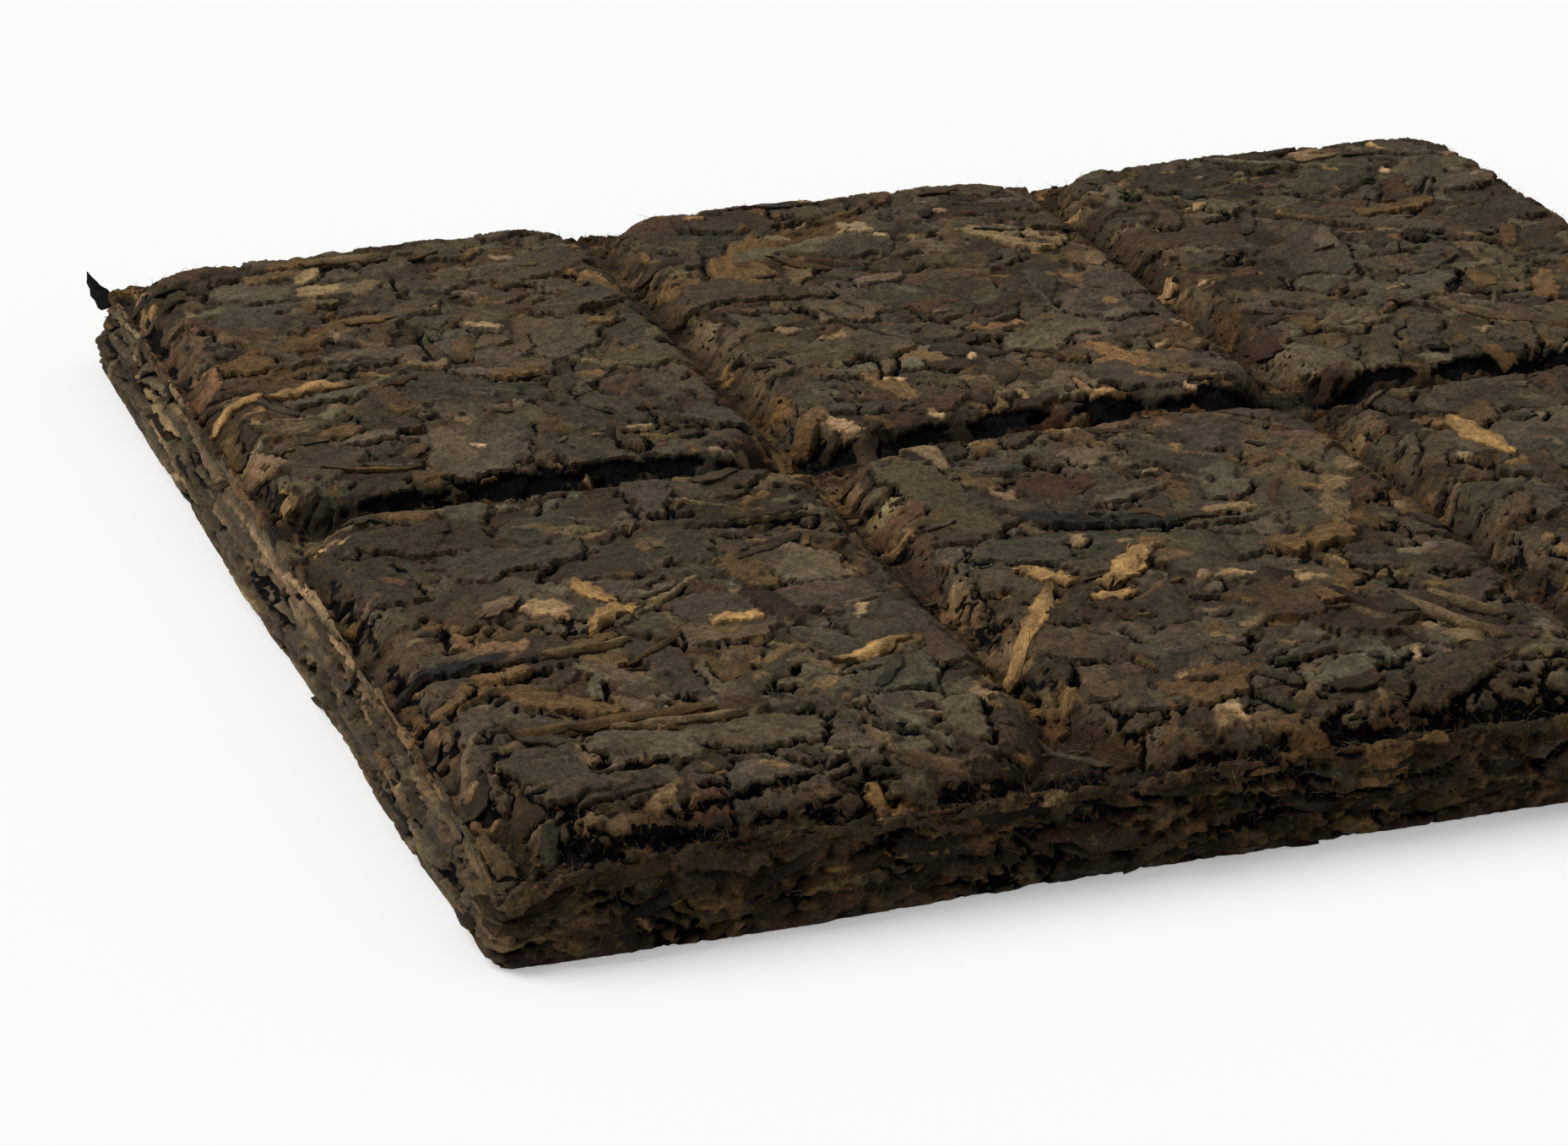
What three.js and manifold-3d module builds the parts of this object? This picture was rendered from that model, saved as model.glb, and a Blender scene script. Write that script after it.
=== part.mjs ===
// A brick of pressed pu-erh tea: one flat, nearly square slab of leaf, moulded on top into
// three columns and two rows of raised pads with rounded shoulders, parted by shallow
// grooves so that a pad can be snapped off for a pot. Leaf flakes, pressed flat and
// overlapping, stand in low relief on the pads and crumble out of the four sides.
//
// Millimetres, +Z up. X runs along the three columns, Y from the front row to the back one.
// The brick lies on the plane z = 0, and the origin is under the middle of its outline.
import * as THREE from "three";
import { mergeVertices } from "three/addons/utils/BufferGeometryUtils.js";
import Module from "manifold-3d";

const wasm = await Module();
wasm.setup();

// The slab and its pads.
const COLUMNS = 3;
const ROWS = 2;
const COLUMN_PITCH = 36;
const ROW_PITCH = 52;
const EDGE_MARGIN = 0.3; // the slab's wall stands this far outside the outermost groove line
const RIM_HEIGHT = 5.8; // top of the wall, and the groove floors
const PAD_HEIGHT = 7.8; // top of the pads
const GROOVE_FLOOR = 0.6; // half the width of a groove's floor
const GROOVE_BEND = 1.8; // a grid line halfway up the shoulder
const GROOVE_SHOULDER = 3.2; // from a groove's middle line to where a pad's top is level
const PAD_CORNER = 3.4; // how far a pad's corners are rounded, seen from above
const SHOULDER_POWER = 2.4; // how steeply a pad's shoulder leaves the groove floor
const FRONT_SLOPE = 1.6; // how much wider the shoulder along the front edge is
const CORNER_RADIUS = 1.1; // the slab's corners, seen from above
const HALF_LENGTH = (COLUMNS * COLUMN_PITCH) / 2 + EDGE_MARGIN;
const HALF_WIDTH = (ROWS * ROW_PITCH) / 2 + EDGE_MARGIN;
const BOX_HALF_LENGTH = 55;
const BOX_HALF_WIDTH = 53;
const GRID_CELLS_ACROSS_PAD = 3;
const GRID_CELLS_ALONG_PAD = 4;

// Unevenness of the pressing.
const TOP_SWELL = 0.16;
const FLOOR_SWELL_SHARE = 0.4; // how much of the top's swell the groove floors have
const TOP_PHASE = 0.6;
const WALL_SWELL = 0.32;
const WALL_PHASE = 1.3;
const WALL_PHASE_RISE = 0.35; // how the wall's swell shifts for each millimetre of height
const SWELL_WAVES = [
  { x: 0.19, y: 0.14, phases: 1, share: 0.35 },
  { x: 0.071, y: -0.23, phases: 2, share: 0.35 },
  { x: -0.16, y: 0.05, phases: 3, share: 0.15 },
  { x: 0.47, y: 0.39, phases: -1, share: 0.15 },
];
const WORN_CORNER = { x: -HALF_LENGTH, y: -HALF_WIDTH, reach: 11, drop: 1.7 };

// The wall, from the bench up: height, and how far it lies inside the outline.
const WALL_PROFILE = [
  { z: 0, inset: 0.25 },
  { z: 0.9, inset: 0.05 },
  { z: 3.1, inset: 0 },
  { z: 5.0, inset: 0.15 },
];
const RIM_INSET = 0.7;

// The flakes: half their length and half their breadth, how proud they stand, and how deep
// they are rooted in the slab.
const PAD_FLAKES = { long: [3.0, 6.6], broad: [1.5, 2.8], rise: [0.22, 0.62], root: 1.1 };
const SHOULDER_FLAKES = { long: [2.2, 4.4], broad: [0.9, 1.7], rise: [0.25, 0.55], root: 1.0 };
const WALL_FLAKES = { long: [2.4, 5.6], broad: [0.6, 1.3], rise: [0.35, 0.85], root: 1.6 };
const LEAF_TIP = { long: [2.6, 2.6], broad: [0.7, 0.7], rise: [0.9, 0.9], root: 1.6 };
const LEAF_TIP_PLACE = { x: -53.6, y: 51.6, heading: 2.4 };
const FLAKE_SIDES = 6;
const FLAKE_RAGGED = [0.82, 1.14]; // a flake's corners, as shares of its half length
const FLAKE_TURN = 0.6; // how far a corner may stray, in shares of the angle between two
const FLAKE_CROWN = 0.12; // how much higher a flake's middle is than its edge
const FLAKE_ROOT_SIZE = 0.9; // a flake's foot, as a share of its face
const FLAKE_TILT = 0.05;
const FLAKES_ACROSS_PAD = 3;
const FLAKES_ALONG_PAD = 6;
const PAD_FLAKE_SCATTER = 0.8; // in shares of the step from one flake to the next
const PAD_FLAKE_SWING = 0.75 * Math.PI;
const SHOULDER_FLAKE_STEP = 21;
const SHOULDER_FLAKE_SCATTER = 4;
const SHOULDER_FLAKE_SWING = 0.9;
const SHOULDER_FLAKE_SIDE = 2.3; // from a groove's middle line
const SHOULDER_FLAKE_ENDS = { first: 6, last: 4 }; // kept clear at a line's two ends
const WALL_FLAKE_STEP = 9.4;
const WALL_FLAKE_SCATTER = 3;
const WALL_FLAKE_SWING = 0.3;
const WALL_FLAKE_HEIGHT = [1.1, 4.9];
const WALL_FLAKE_EDGES = { lowest: 0.15, highest: RIM_HEIGHT - 0.2 };
const WALL_FLAKE_ENDS = CORNER_RADIUS + 2; // kept clear at a wall's two ends
const WALL_FLAKE_REACH = 0.7 * CORNER_RADIUS; // no flake passes this far into a corner

const SEED = 20817;
const TEA = { color: 0x4b3b2b, roughness: 0.85, metalness: 0 };

// Numbers between 0 and 1 that are the same on every run.
function seededRandom(seed) {
  let state = seed >>> 0;
  return () => {
    state = (state + 0x6d2b79f5) >>> 0;
    let mixed = Math.imul(state ^ (state >>> 15), 1 | state);
    mixed = (mixed + Math.imul(mixed ^ (mixed >>> 7), 61 | mixed)) ^ mixed;
    return ((mixed ^ (mixed >>> 14)) >>> 0) / 4294967296;
  };
}

function between(random, [low, high]) {
  return low + (high - low) * random();
}

// A slow wave over the brick, between -1 and 1.
function swell(x, y, phase) {
  let height = 0;
  for (const wave of SWELL_WAVES) {
    height += wave.share * Math.sin(wave.x * x + wave.y * y + wave.phases * phase);
  }
  return height;
}

// How far a place is from the nearest groove middle line or outer edge in one direction.
function distanceToGroove(place, pitch, count) {
  const cells = place / pitch + count / 2;
  const inside = Math.min(Math.max(cells, 0), count);
  const nearest = Math.round(inside);
  return Math.abs(cells - nearest) * pitch;
}

// 0 on a groove's floor and 1 on top of a pad, with round shoulders and corners.
function padShare(x, y) {
  const dx = distanceToGroove(x, COLUMN_PITCH, COLUMNS);
  const frontRow = y < (1 - ROWS) * ROW_PITCH * 0.5;
  const dy = distanceToGroove(y, ROW_PITCH, ROWS) / (frontRow ? FRONT_SLOPE : 1);
  const reach = GROOVE_SHOULDER + PAD_CORNER;
  const cut = Math.hypot(Math.max(reach - dx, 0), Math.max(reach - dy, 0));
  const depth = Math.min(dx, dy, reach - Math.min(cut, reach));
  const share = (depth - GROOVE_FLOOR) / (GROOVE_SHOULDER - GROOVE_FLOOR);
  const clamped = Math.min(Math.max(share, 0), 1);
  return 1 - (1 - clamped) ** SHOULDER_POWER;
}

// Height of the top surface.
function topHeight(x, y) {
  const share = padShare(x, y);
  const worn = Math.hypot(x - WORN_CORNER.x, y - WORN_CORNER.y) / WORN_CORNER.reach;
  const drop = WORN_CORNER.drop * Math.max(1 - worn, 0) ** 2;
  const level = RIM_HEIGHT + (PAD_HEIGHT - RIM_HEIGHT) * share;
  const evenness = FLOOR_SWELL_SHARE + (1 - FLOOR_SWELL_SHARE) * share;
  return level + TOP_SWELL * swell(x, y, TOP_PHASE) * evenness - drop;
}

// Moves a place on a plain rectangle into one with round corners.
function roundedPlace(x, y) {
  const u = Math.abs(x) - (HALF_LENGTH - CORNER_RADIUS);
  const v = Math.abs(y) - (HALF_WIDTH - CORNER_RADIUS);
  if (u <= 0 || v <= 0) return [x, y];
  const shrink = Math.max(u, v) / Math.hypot(u, v);
  const px = HALF_LENGTH - CORNER_RADIUS + u * shrink;
  const py = HALF_WIDTH - CORNER_RADIUS + v * shrink;
  return [Math.sign(x) * px, Math.sign(y) * py];
}

// Grid lines in one direction: close together over each groove's shoulders. The first
// shoulder is firstSlope times as wide as the others.
function gridLines(pitch, count, half, cells, firstSlope) {
  const offsets = [GROOVE_FLOOR, GROOVE_BEND, GROOVE_SHOULDER];
  const lines = [-half, half];
  for (let cell = 0; cell < count; cell += 1) {
    const low = (cell - count / 2) * pitch;
    const slope = cell === 0 ? firstSlope : 1;
    for (const offset of offsets) lines.push(low + slope * offset, low + pitch - offset);
    const start = slope * GROOVE_SHOULDER;
    const span = pitch - GROOVE_SHOULDER - start;
    for (let i = 1; i < cells; i += 1) lines.push(low + start + (span * i) / cells);
  }
  return lines.sort((a, b) => a - b);
}

// The outline of the grid, counter-clockwise seen from above, as grid places.
function gridRim(nx, ny) {
  const rim = [];
  for (let i = 0; i < nx; i += 1) rim.push([i, 0]);
  for (let j = 0; j < ny; j += 1) rim.push([nx, j]);
  for (let i = nx; i > 0; i -= 1) rim.push([i, ny]);
  for (let j = ny; j > 0; j -= 1) rim.push([0, j]);
  return rim;
}

// The wall's outline: a rounded rectangle drawn in by inset, with its slow swell.
function wallPlace(x, y, z, inset) {
  const [px, py] = roundedPlace(x, y);
  const waviness = swell(px, py, WALL_PHASE + WALL_PHASE_RISE * z);
  const drawIn = inset + (WALL_SWELL * (1 + waviness)) / 2;
  return [px * (1 - drawIn / HALF_LENGTH), py * (1 - drawIn / HALF_WIDTH), z];
}

function slabGeometry() {
  const xs = gridLines(COLUMN_PITCH, COLUMNS, HALF_LENGTH, GRID_CELLS_ACROSS_PAD, 1);
  const ys = gridLines(ROW_PITCH, ROWS, HALF_WIDTH, GRID_CELLS_ALONG_PAD, FRONT_SLOPE);
  const nx = xs.length - 1;
  const ny = ys.length - 1;
  const points = [];
  const faces = [];
  const topIndex = (i, j) => i * (ny + 1) + j;
  xs.forEach((x) => {
    ys.forEach((y) => {
      const [px, py] = wallPlace(x, y, RIM_HEIGHT, RIM_INSET);
      points.push([px, py, topHeight(px, py)]);
    });
  });
  for (let i = 0; i < nx; i += 1) {
    for (let j = 0; j < ny; j += 1) {
      const corner = topIndex(i, j);
      const right = topIndex(i + 1, j);
      const far = topIndex(i + 1, j + 1);
      const back = topIndex(i, j + 1);
      faces.push([corner, right, far], [corner, far, back]);
    }
  }
  const rim = gridRim(nx, ny);
  const rings = WALL_PROFILE.map(({ z, inset }) =>
    rim.map(([i, j]) => points.push(wallPlace(xs[i], ys[j], z, inset)) - 1),
  );
  rings.push(rim.map(([i, j]) => topIndex(i, j)));
  for (let level = 0; level + 1 < rings.length; level += 1) {
    rim.forEach((_, k) => {
      const next = (k + 1) % rim.length;
      const low = rings[level];
      const high = rings[level + 1];
      faces.push([low[k], low[next], high[next]], [low[k], high[next], high[k]]);
    });
  }
  const foot = rings[0].map((index) => new THREE.Vector2(points[index][0], points[index][1]));
  for (const [a, b, c] of THREE.ShapeUtils.triangulateShape(foot, [])) {
    faces.push([rings[0][a], rings[0][c], rings[0][b]]);
  }
  return geometryOf(points, faces);
}

function geometryOf(points, faces) {
  const geometry = new THREE.BufferGeometry();
  geometry.setAttribute("position", new THREE.Float32BufferAttribute(points.flat(), 3));
  geometry.setIndex(faces.flat());
  return geometry;
}

// A flake's outline about its own middle: a ragged oval, longer than it is broad.
function flakeOutline(random, long, broad, heading) {
  const outline = [];
  for (let k = 0; k < FLAKE_SIDES; k += 1) {
    const angle = ((k + FLAKE_TURN * (random() - 0.5)) / FLAKE_SIDES) * 2 * Math.PI;
    const ragged = between(random, FLAKE_RAGGED);
    const u = long * ragged * Math.cos(angle);
    const v = broad * ragged * Math.sin(angle);
    const x = u * Math.cos(heading) - v * Math.sin(heading);
    const y = u * Math.sin(heading) + v * Math.cos(heading);
    outline.push([x, y]);
  }
  return outline;
}

// A closed flake between two faces. place(x, y, lift) gives the point that lies lift above
// the slab, at x and y from the flake's middle.
function flakeGeometry(outline, place, rise, root, tilt) {
  const count = outline.length;
  const points = outline.map(([x, y]) => place(x, y, rise + tilt[0] * x + tilt[1] * y));
  outline.forEach(([x, y]) => {
    points.push(place(FLAKE_ROOT_SIZE * x, FLAKE_ROOT_SIZE * y, -root));
  });
  points.push(place(0, 0, rise + FLAKE_CROWN), place(0, 0, -root));
  const faces = [];
  for (let k = 0; k < count; k += 1) {
    const next = (k + 1) % count;
    faces.push([k, next, 2 * count]);
    faces.push([count + next, count + k, 2 * count + 1]);
    faces.push([count + k, count + next, next], [count + k, next, k]);
  }
  return geometryOf(points, faces);
}

function insideBox([x, y, z]) {
  const px = Math.min(Math.max(x, -BOX_HALF_LENGTH), BOX_HALF_LENGTH);
  const py = Math.min(Math.max(y, -BOX_HALF_WIDTH), BOX_HALF_WIDTH);
  return [px, py, z];
}

// A flake that lies on the top surface and follows it over shoulders and into grooves.
function topFlake(random, x, y, heading, kind) {
  const long = between(random, kind.long);
  const broad = between(random, kind.broad);
  const rise = between(random, kind.rise);
  const tilt = [FLAKE_TILT * (random() - 0.5), FLAKE_TILT * (random() - 0.5)];
  const place = (dx, dy, lift) => {
    const [px, py] = roundedPlace(x + dx, y + dy);
    return insideBox([px, py, topHeight(px, py) + lift]);
  };
  const outline = flakeOutline(random, long, broad, heading);
  return flakeGeometry(outline, place, rise, kind.root, tilt);
}

// The flakes on one pad's top, in a loose grid, lying every way but mostly lengthwise.
function padFlakes(random, column, row) {
  const left = (column - COLUMNS / 2) * COLUMN_PITCH + GROOVE_SHOULDER;
  const front = (row - ROWS / 2) * ROW_PITCH + GROOVE_SHOULDER;
  const stepX = (COLUMN_PITCH - 2 * GROOVE_SHOULDER) / FLAKES_ACROSS_PAD;
  const stepY = (ROW_PITCH - 2 * GROOVE_SHOULDER) / FLAKES_ALONG_PAD;
  const flakes = [];
  for (let i = 0; i < FLAKES_ACROSS_PAD; i += 1) {
    for (let j = 0; j < FLAKES_ALONG_PAD; j += 1) {
      const x = left + (i + 0.5 + PAD_FLAKE_SCATTER * (random() - 0.5)) * stepX;
      const y = front + (j + 0.5 + PAD_FLAKE_SCATTER * (random() - 0.5)) * stepY;
      const heading = (random() + random() - 1) * PAD_FLAKE_SWING;
      flakes.push(topFlake(random, x, y, heading, PAD_FLAKES));
    }
  }
  return flakes;
}

// The flakes over the shoulders of one row of groove lines. at(line, along) gives a place
// from the line's offset and the way along it.
function flakesAlongLines(random, lines, pitch, half, facing, at) {
  const flakes = [];
  for (let line = 0; line <= lines; line += 1) {
    const middle = (line - lines / 2) * pitch;
    const end = half - SHOULDER_FLAKE_ENDS.last;
    let along = -half + SHOULDER_FLAKE_ENDS.first;
    for (; along < end; along += SHOULDER_FLAKE_STEP) {
      const way = line === 0 ? 1 : line === lines ? -1 : Math.sign(random() - 0.5);
      const shift = along + SHOULDER_FLAKE_SCATTER * (random() - 0.5);
      const heading = facing + SHOULDER_FLAKE_SWING * (random() - 0.5);
      const [x, y] = at(middle + way * SHOULDER_FLAKE_SIDE, shift);
      flakes.push(topFlake(random, x, y, heading, SHOULDER_FLAKES));
    }
  }
  return flakes;
}

// Flakes that the mould has bent over the shoulders, along every groove and outer edge.
function shoulderFlakes(random) {
  const upright = Math.PI / 2;
  return [
    ...flakesAlongLines(random, COLUMNS, COLUMN_PITCH, HALF_WIDTH, upright, (x, y) => [x, y]),
    ...flakesAlongLines(random, ROWS, ROW_PITCH, HALF_LENGTH, 0, (y, x) => [x, y]),
  ];
}

// A flake that lies against one wall, on edge. along is measured from the wall's middle.
function wallFlake(random, wall, along, height) {
  const long = between(random, WALL_FLAKES.long);
  const broad = between(random, WALL_FLAKES.broad);
  const rise = between(random, WALL_FLAKES.rise);
  const reach = wall.reach - WALL_FLAKE_REACH;
  const { lowest, highest } = WALL_FLAKE_EDGES;
  const place = (du, dz, lift) => {
    const u = Math.min(Math.max(along + du, -reach), reach);
    const z = Math.min(Math.max(height + dz, lowest), highest);
    const out = wall.out - WALL_SWELL / 2 + lift;
    return insideBox([
      wall.normal[0] * out - wall.normal[1] * u,
      wall.normal[1] * out + wall.normal[0] * u,
      z,
    ]);
  };
  const heading = WALL_FLAKE_SWING * (random() - 0.5);
  const outline = flakeOutline(random, long, broad, heading);
  return flakeGeometry(outline, place, rise, WALL_FLAKES.root, [0, 0]);
}

// Layers of leaf, seen on edge, that crumble out of the four sides.
function wallFlakes(random) {
  const walls = [
    { normal: [1, 0], out: HALF_LENGTH, reach: HALF_WIDTH },
    { normal: [-1, 0], out: HALF_LENGTH, reach: HALF_WIDTH },
    { normal: [0, 1], out: HALF_WIDTH, reach: HALF_LENGTH },
    { normal: [0, -1], out: HALF_WIDTH, reach: HALF_LENGTH },
  ];
  const flakes = [];
  for (const wall of walls) {
    const last = wall.reach - WALL_FLAKE_ENDS;
    for (let along = -last; along < last; along += WALL_FLAKE_STEP) {
      const place = along + WALL_FLAKE_SCATTER * (random() - 0.5);
      flakes.push(wallFlake(random, wall, place, between(random, WALL_FLAKE_HEIGHT)));
    }
  }
  return flakes;
}

// One leaf tip that stands out at the back left corner.
function leafTip(random) {
  const { x, y, heading } = LEAF_TIP_PLACE;
  return topFlake(random, x, y, heading, LEAF_TIP);
}

function solidOf(geometry) {
  const merged = mergeVertices(geometry);
  const mesh = new wasm.Mesh({
    numProp: 3,
    vertProperties: merged.attributes.position.array,
    triVerts: new Uint32Array(merged.index.array),
  });
  return new wasm.Manifold(mesh);
}

function geometryFrom(solid) {
  const mesh = solid.getMesh();
  const positions = new Float32Array(mesh.numVert * 3);
  for (let i = 0; i < mesh.numVert; i += 1) {
    const start = i * mesh.numProp;
    positions.set(mesh.vertProperties.subarray(start, start + 3), i * 3);
  }
  const geometry = new THREE.BufferGeometry();
  geometry.setAttribute("position", new THREE.BufferAttribute(positions, 3));
  geometry.setIndex(new THREE.BufferAttribute(mesh.triVerts, 1));
  geometry.computeVertexNormals();
  return geometry;
}

function teaBrick() {
  const random = seededRandom(SEED);
  const flakes = [leafTip(random)];
  for (let column = 0; column < COLUMNS; column += 1) {
    for (let row = 0; row < ROWS; row += 1) flakes.push(...padFlakes(random, column, row));
  }
  flakes.push(...shoulderFlakes(random), ...wallFlakes(random));
  let brick = solidOf(slabGeometry());
  for (const flake of flakes) brick = brick.add(solidOf(flake));
  const geometry = geometryFrom(brick);
  geometry.computeBoundingBox();
  const middle = geometry.boundingBox.getCenter(new THREE.Vector3());
  const mesh = new THREE.Mesh(geometry, new THREE.MeshStandardMaterial(TEA));
  mesh.name = "tea_brick";
  mesh.position.set(-middle.x, -middle.y, 0);
  return mesh;
}

const brick = new THREE.Group();
brick.name = "pu_erh_tea_brick";
brick.add(teaBrick());

export default brick;
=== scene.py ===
"""A brick of pressed pu-erh tea: leaf matted flat over pads and grooves, with loose bits on it.

The shape functions work in millimetres, and make_piece turns their points into metres. Leaf is
pressed into flat charts of the brick's faces, each piece over what already lies there, and the
charts are then wrapped round the brick's form.
"""

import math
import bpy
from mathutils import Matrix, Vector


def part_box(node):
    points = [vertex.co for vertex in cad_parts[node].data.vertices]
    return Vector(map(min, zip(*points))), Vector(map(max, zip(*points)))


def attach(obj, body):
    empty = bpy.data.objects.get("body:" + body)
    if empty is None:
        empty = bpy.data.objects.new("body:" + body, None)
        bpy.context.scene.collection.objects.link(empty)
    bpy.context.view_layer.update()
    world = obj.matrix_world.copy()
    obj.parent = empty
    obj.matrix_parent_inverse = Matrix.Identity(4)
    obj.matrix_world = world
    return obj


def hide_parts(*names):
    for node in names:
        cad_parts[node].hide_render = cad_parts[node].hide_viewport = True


bl_info = {
    "name": "Pressed Tea Brick",
    "version": (1, 0, 0),
    "blender": (4, 5, 0),
    "location": "View3D > Sidebar > Tea Brick",
    "description": "Builds a brick of pressed tea leaf round its packed solid",
    "category": "Add Mesh",
}

import bpy
import numpy as np
from bpy.props import FloatProperty, FloatVectorProperty, IntProperty, PointerProperty
from mathutils import Vector

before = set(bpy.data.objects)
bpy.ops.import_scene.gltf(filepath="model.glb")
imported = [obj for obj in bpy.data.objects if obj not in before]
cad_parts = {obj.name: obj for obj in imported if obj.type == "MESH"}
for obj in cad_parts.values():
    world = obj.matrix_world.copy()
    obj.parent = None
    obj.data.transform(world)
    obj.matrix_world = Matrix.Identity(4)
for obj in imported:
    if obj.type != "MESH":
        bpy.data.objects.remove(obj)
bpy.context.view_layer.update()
BRICK_LOW, BRICK_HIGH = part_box("tea_brick")

MM = 0.001
NODE = "tea_brick"
BODY = "root"


def size(name, description, millimetres):
    return FloatProperty(
        name=name, description=description, default=millimetres * MM, unit="LENGTH"
    )


def number(name, description, value):
    return FloatProperty(name=name, description=description, default=value)


def turn(name, description, degrees):
    return FloatProperty(
        name=name, description=description, default=math.radians(degrees), subtype="ANGLE"
    )


def count(name, description, value):
    return IntProperty(name=name, description=description, default=value, min=0)


class BrickForm(bpy.types.PropertyGroup):
    """The pressed slab, its pads and its grooves."""

    columns: count("Columns", "Pads side by side", 3)
    rows: count("Rows", "Pads from front to back", 2)
    length: size("Length", "Along the columns, with loose leaf", (BRICK_HIGH.x - BRICK_LOW.x) / MM)
    width: size("Width", "From front to back, with loose leaf", (BRICK_HIGH.y - BRICK_LOW.y) / MM)
    leaf_reach: size("Leaf reach", "How far leaf crumbles out past the pressed wall", 0.7)
    edge_margin: size("Edge margin", "From the outermost groove line to the wall", 0.3)
    rim_height: size("Rim height", "Height of the wall and of the groove floors", 5.8)
    pad_height: size("Pad height", "Height of the pads", 7.8)
    floor: size("Groove floor", "Half the width of a groove's floor", 0.6)
    shoulder: size("Groove shoulder", "From a groove's middle to the level pad", 3.2)
    shoulder_power: number("Shoulder power", "How steeply a pad leaves the groove floor", 2.4)
    front_slope: number("Front slope", "How much wider the shoulder along the front edge is", 1.6)
    pad_corner: size("Pad corner", "Rounding of a pad's corners, seen from above", 3.4)
    corner: size("Corner radius", "Rounding of the slab's corners, seen from above", 1.1)
    round: size("Edge round", "Rounding between the top and the walls", 0.5)
    top_swell: size("Top swell", "Unevenness of the pressed top", 0.16)
    wall_swell: size("Wall swell", "Unevenness of the walls", 0.32)
    worn_reach: size("Worn corner's reach", "How far the wear of the front left corner reaches", 11.0)
    worn_drop: size("Worn corner's drop", "How much lower the worn corner is", 1.7)


class LeafCounts(bpy.types.PropertyGroup):
    """How many pieces of leaf are pressed into each face, and how many lie loose on it."""

    seed: count("Seed", "Start of the random draws", 4127)
    top_plates: count("Top plates", "Broad leaf on top", 880)
    top_flakes: count("Top flakes", "Torn leaf on top", 1100)
    top_chips: count("Top chips", "Small bits on top", 3000)
    top_strips: count("Top strips", "Rolled leaf on top", 190)
    wall_flakes: count("Wall flakes", "Leaf on the walls", 1500)
    wall_chips: count("Wall chips", "Bits on the walls", 3600)
    wall_strips: count("Wall strips", "Stems on the walls", 420)
    wall_hollows: count("Wall hollows", "Dark gaps in the walls", 130)
    under_plates: count("Underside plates", "Broad leaf underneath", 420)
    under_flakes: count("Underside flakes", "Torn leaf underneath", 1300)
    loose_flakes: count("Loose flakes", "Leaf with raised edges", 54)
    loose_chips: count("Loose chips", "Bits with raised edges", 90)
    loose_strips: count("Loose strips", "Stems lying on top", 12)
    wall_loose: count("Loose wall leaf", "Leaf that crumbles out of the walls", 230)
    crumb_density: number("Crumbs", "Crumbs for each square metre of wall or groove", 600000)
    fibre_density: number("Fibres", "Fibres for each square metre of wall or groove", 2600000)


def leaf_colour(name, description, default):
    return FloatVectorProperty(
        name=name, description=description, subtype="COLOR", size=3, default=default, min=0, max=1
    )


class LeafColours(bpy.types.PropertyGroup):
    """Colours of the dry leaf, as linear values."""

    taupe: leaf_colour("Taupe", "Grey-brown leaf", (0.063, 0.046, 0.027))
    umber: leaf_colour("Umber", "Dark brown leaf", (0.036, 0.023, 0.012))
    olive: leaf_colour("Olive", "Green-grey leaf", (0.049, 0.041, 0.024))
    russet: leaf_colour("Russet", "Red-brown leaf", (0.055, 0.028, 0.014))
    ochre: leaf_colour("Ochre", "Yellow-brown leaf", (0.110, 0.063, 0.024))
    tan: leaf_colour("Tan", "Pale stems and veins", (0.190, 0.125, 0.060))
    gold: leaf_colour("Gold", "Downy buds", (0.400, 0.235, 0.086))
    ink: leaf_colour("Ink", "Blackened slivers", (0.012, 0.012, 0.011))
    core: leaf_colour("Core", "The depth of the cracks", (0.004, 0.003, 0.002))


class StudioSettings(bpy.types.PropertyGroup):
    """Floor, light and camera."""

    floor_colour: leaf_colour("Floor", "Pale floor", (0.565, 0.565, 0.556))
    floor_glow: leaf_colour("Floor glow", "Light that comes back from it", (0.333, 0.333, 0.328))
    floor_size: size("Floor size", "Side of the floor", 6000)
    sky: number("Sky", "Strength of the even light", 0.43)
    sun: number("Sun", "Strength of the soft key light", 3.05)
    sun_angle: turn("Sun angle", "Softness of the key light", 42)
    sun_from: FloatVectorProperty(
        name="Sun from", description="From the brick to the key light", default=(-0.62, 0.35, 0.72)
    )
    lens: number("Lens", "Focal length in mm", 114.4)
    azimuth: turn("Azimuth", "Of the camera, round the brick", -19.05)
    elevation: turn("Elevation", "Of the camera, above the floor", 22.4)
    distance: size("Distance", "Camera to aim point", 330.7)
    aim: FloatVectorProperty(
        name="Aim", description="What the camera looks at", default=(-0.02026, -0.00236, 0.0),
        subtype="TRANSLATION", unit="LENGTH",
    )


# Plane waves that make the slow unevenness of the pressing: along x, along y, how many times
# the phase is added, and their share.
SWELL_WAVES = (
    (0.19, 0.14, 1, 0.35),
    (0.071, -0.23, 2, 0.35),
    (-0.16, 0.05, 3, 0.15),
    (0.47, 0.39, -1, 0.15),
)
TOP_PHASE = 0.6
FLOOR_SWELL_SHARE = 0.4
WALL_PHASE = 1.3
WALL_PHASE_RISE = 0.35
WALL_HEIGHTS = (0.0, 0.9, 3.1, 5.0, 6.0)
WALL_INSETS = (0.25, 0.05, 0.0, 0.15, 0.2)
FOOT = 0.25  # below this height the wall's leaf is pressed towards the bench
LOWEST = 0.02  # nothing lies lower than this
SLOPE_STEP = 0.2
UNDERSIDE_INSET = 1.0
UNDERSIDE_LEVEL = 0.3
STREAKED = 3  # the left wall has long smooth layers of leaf, pale partly in their own colour and partly by painted light, and little lies loose on it


def swell(x, y, phase):
    """A slow wave over the brick, between -1 and 1."""
    height = np.zeros_like(x)
    for along_x, along_y, phases, share in SWELL_WAVES:
        height += share * np.sin(along_x * x + along_y * y + phases * phase)
    return height


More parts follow.
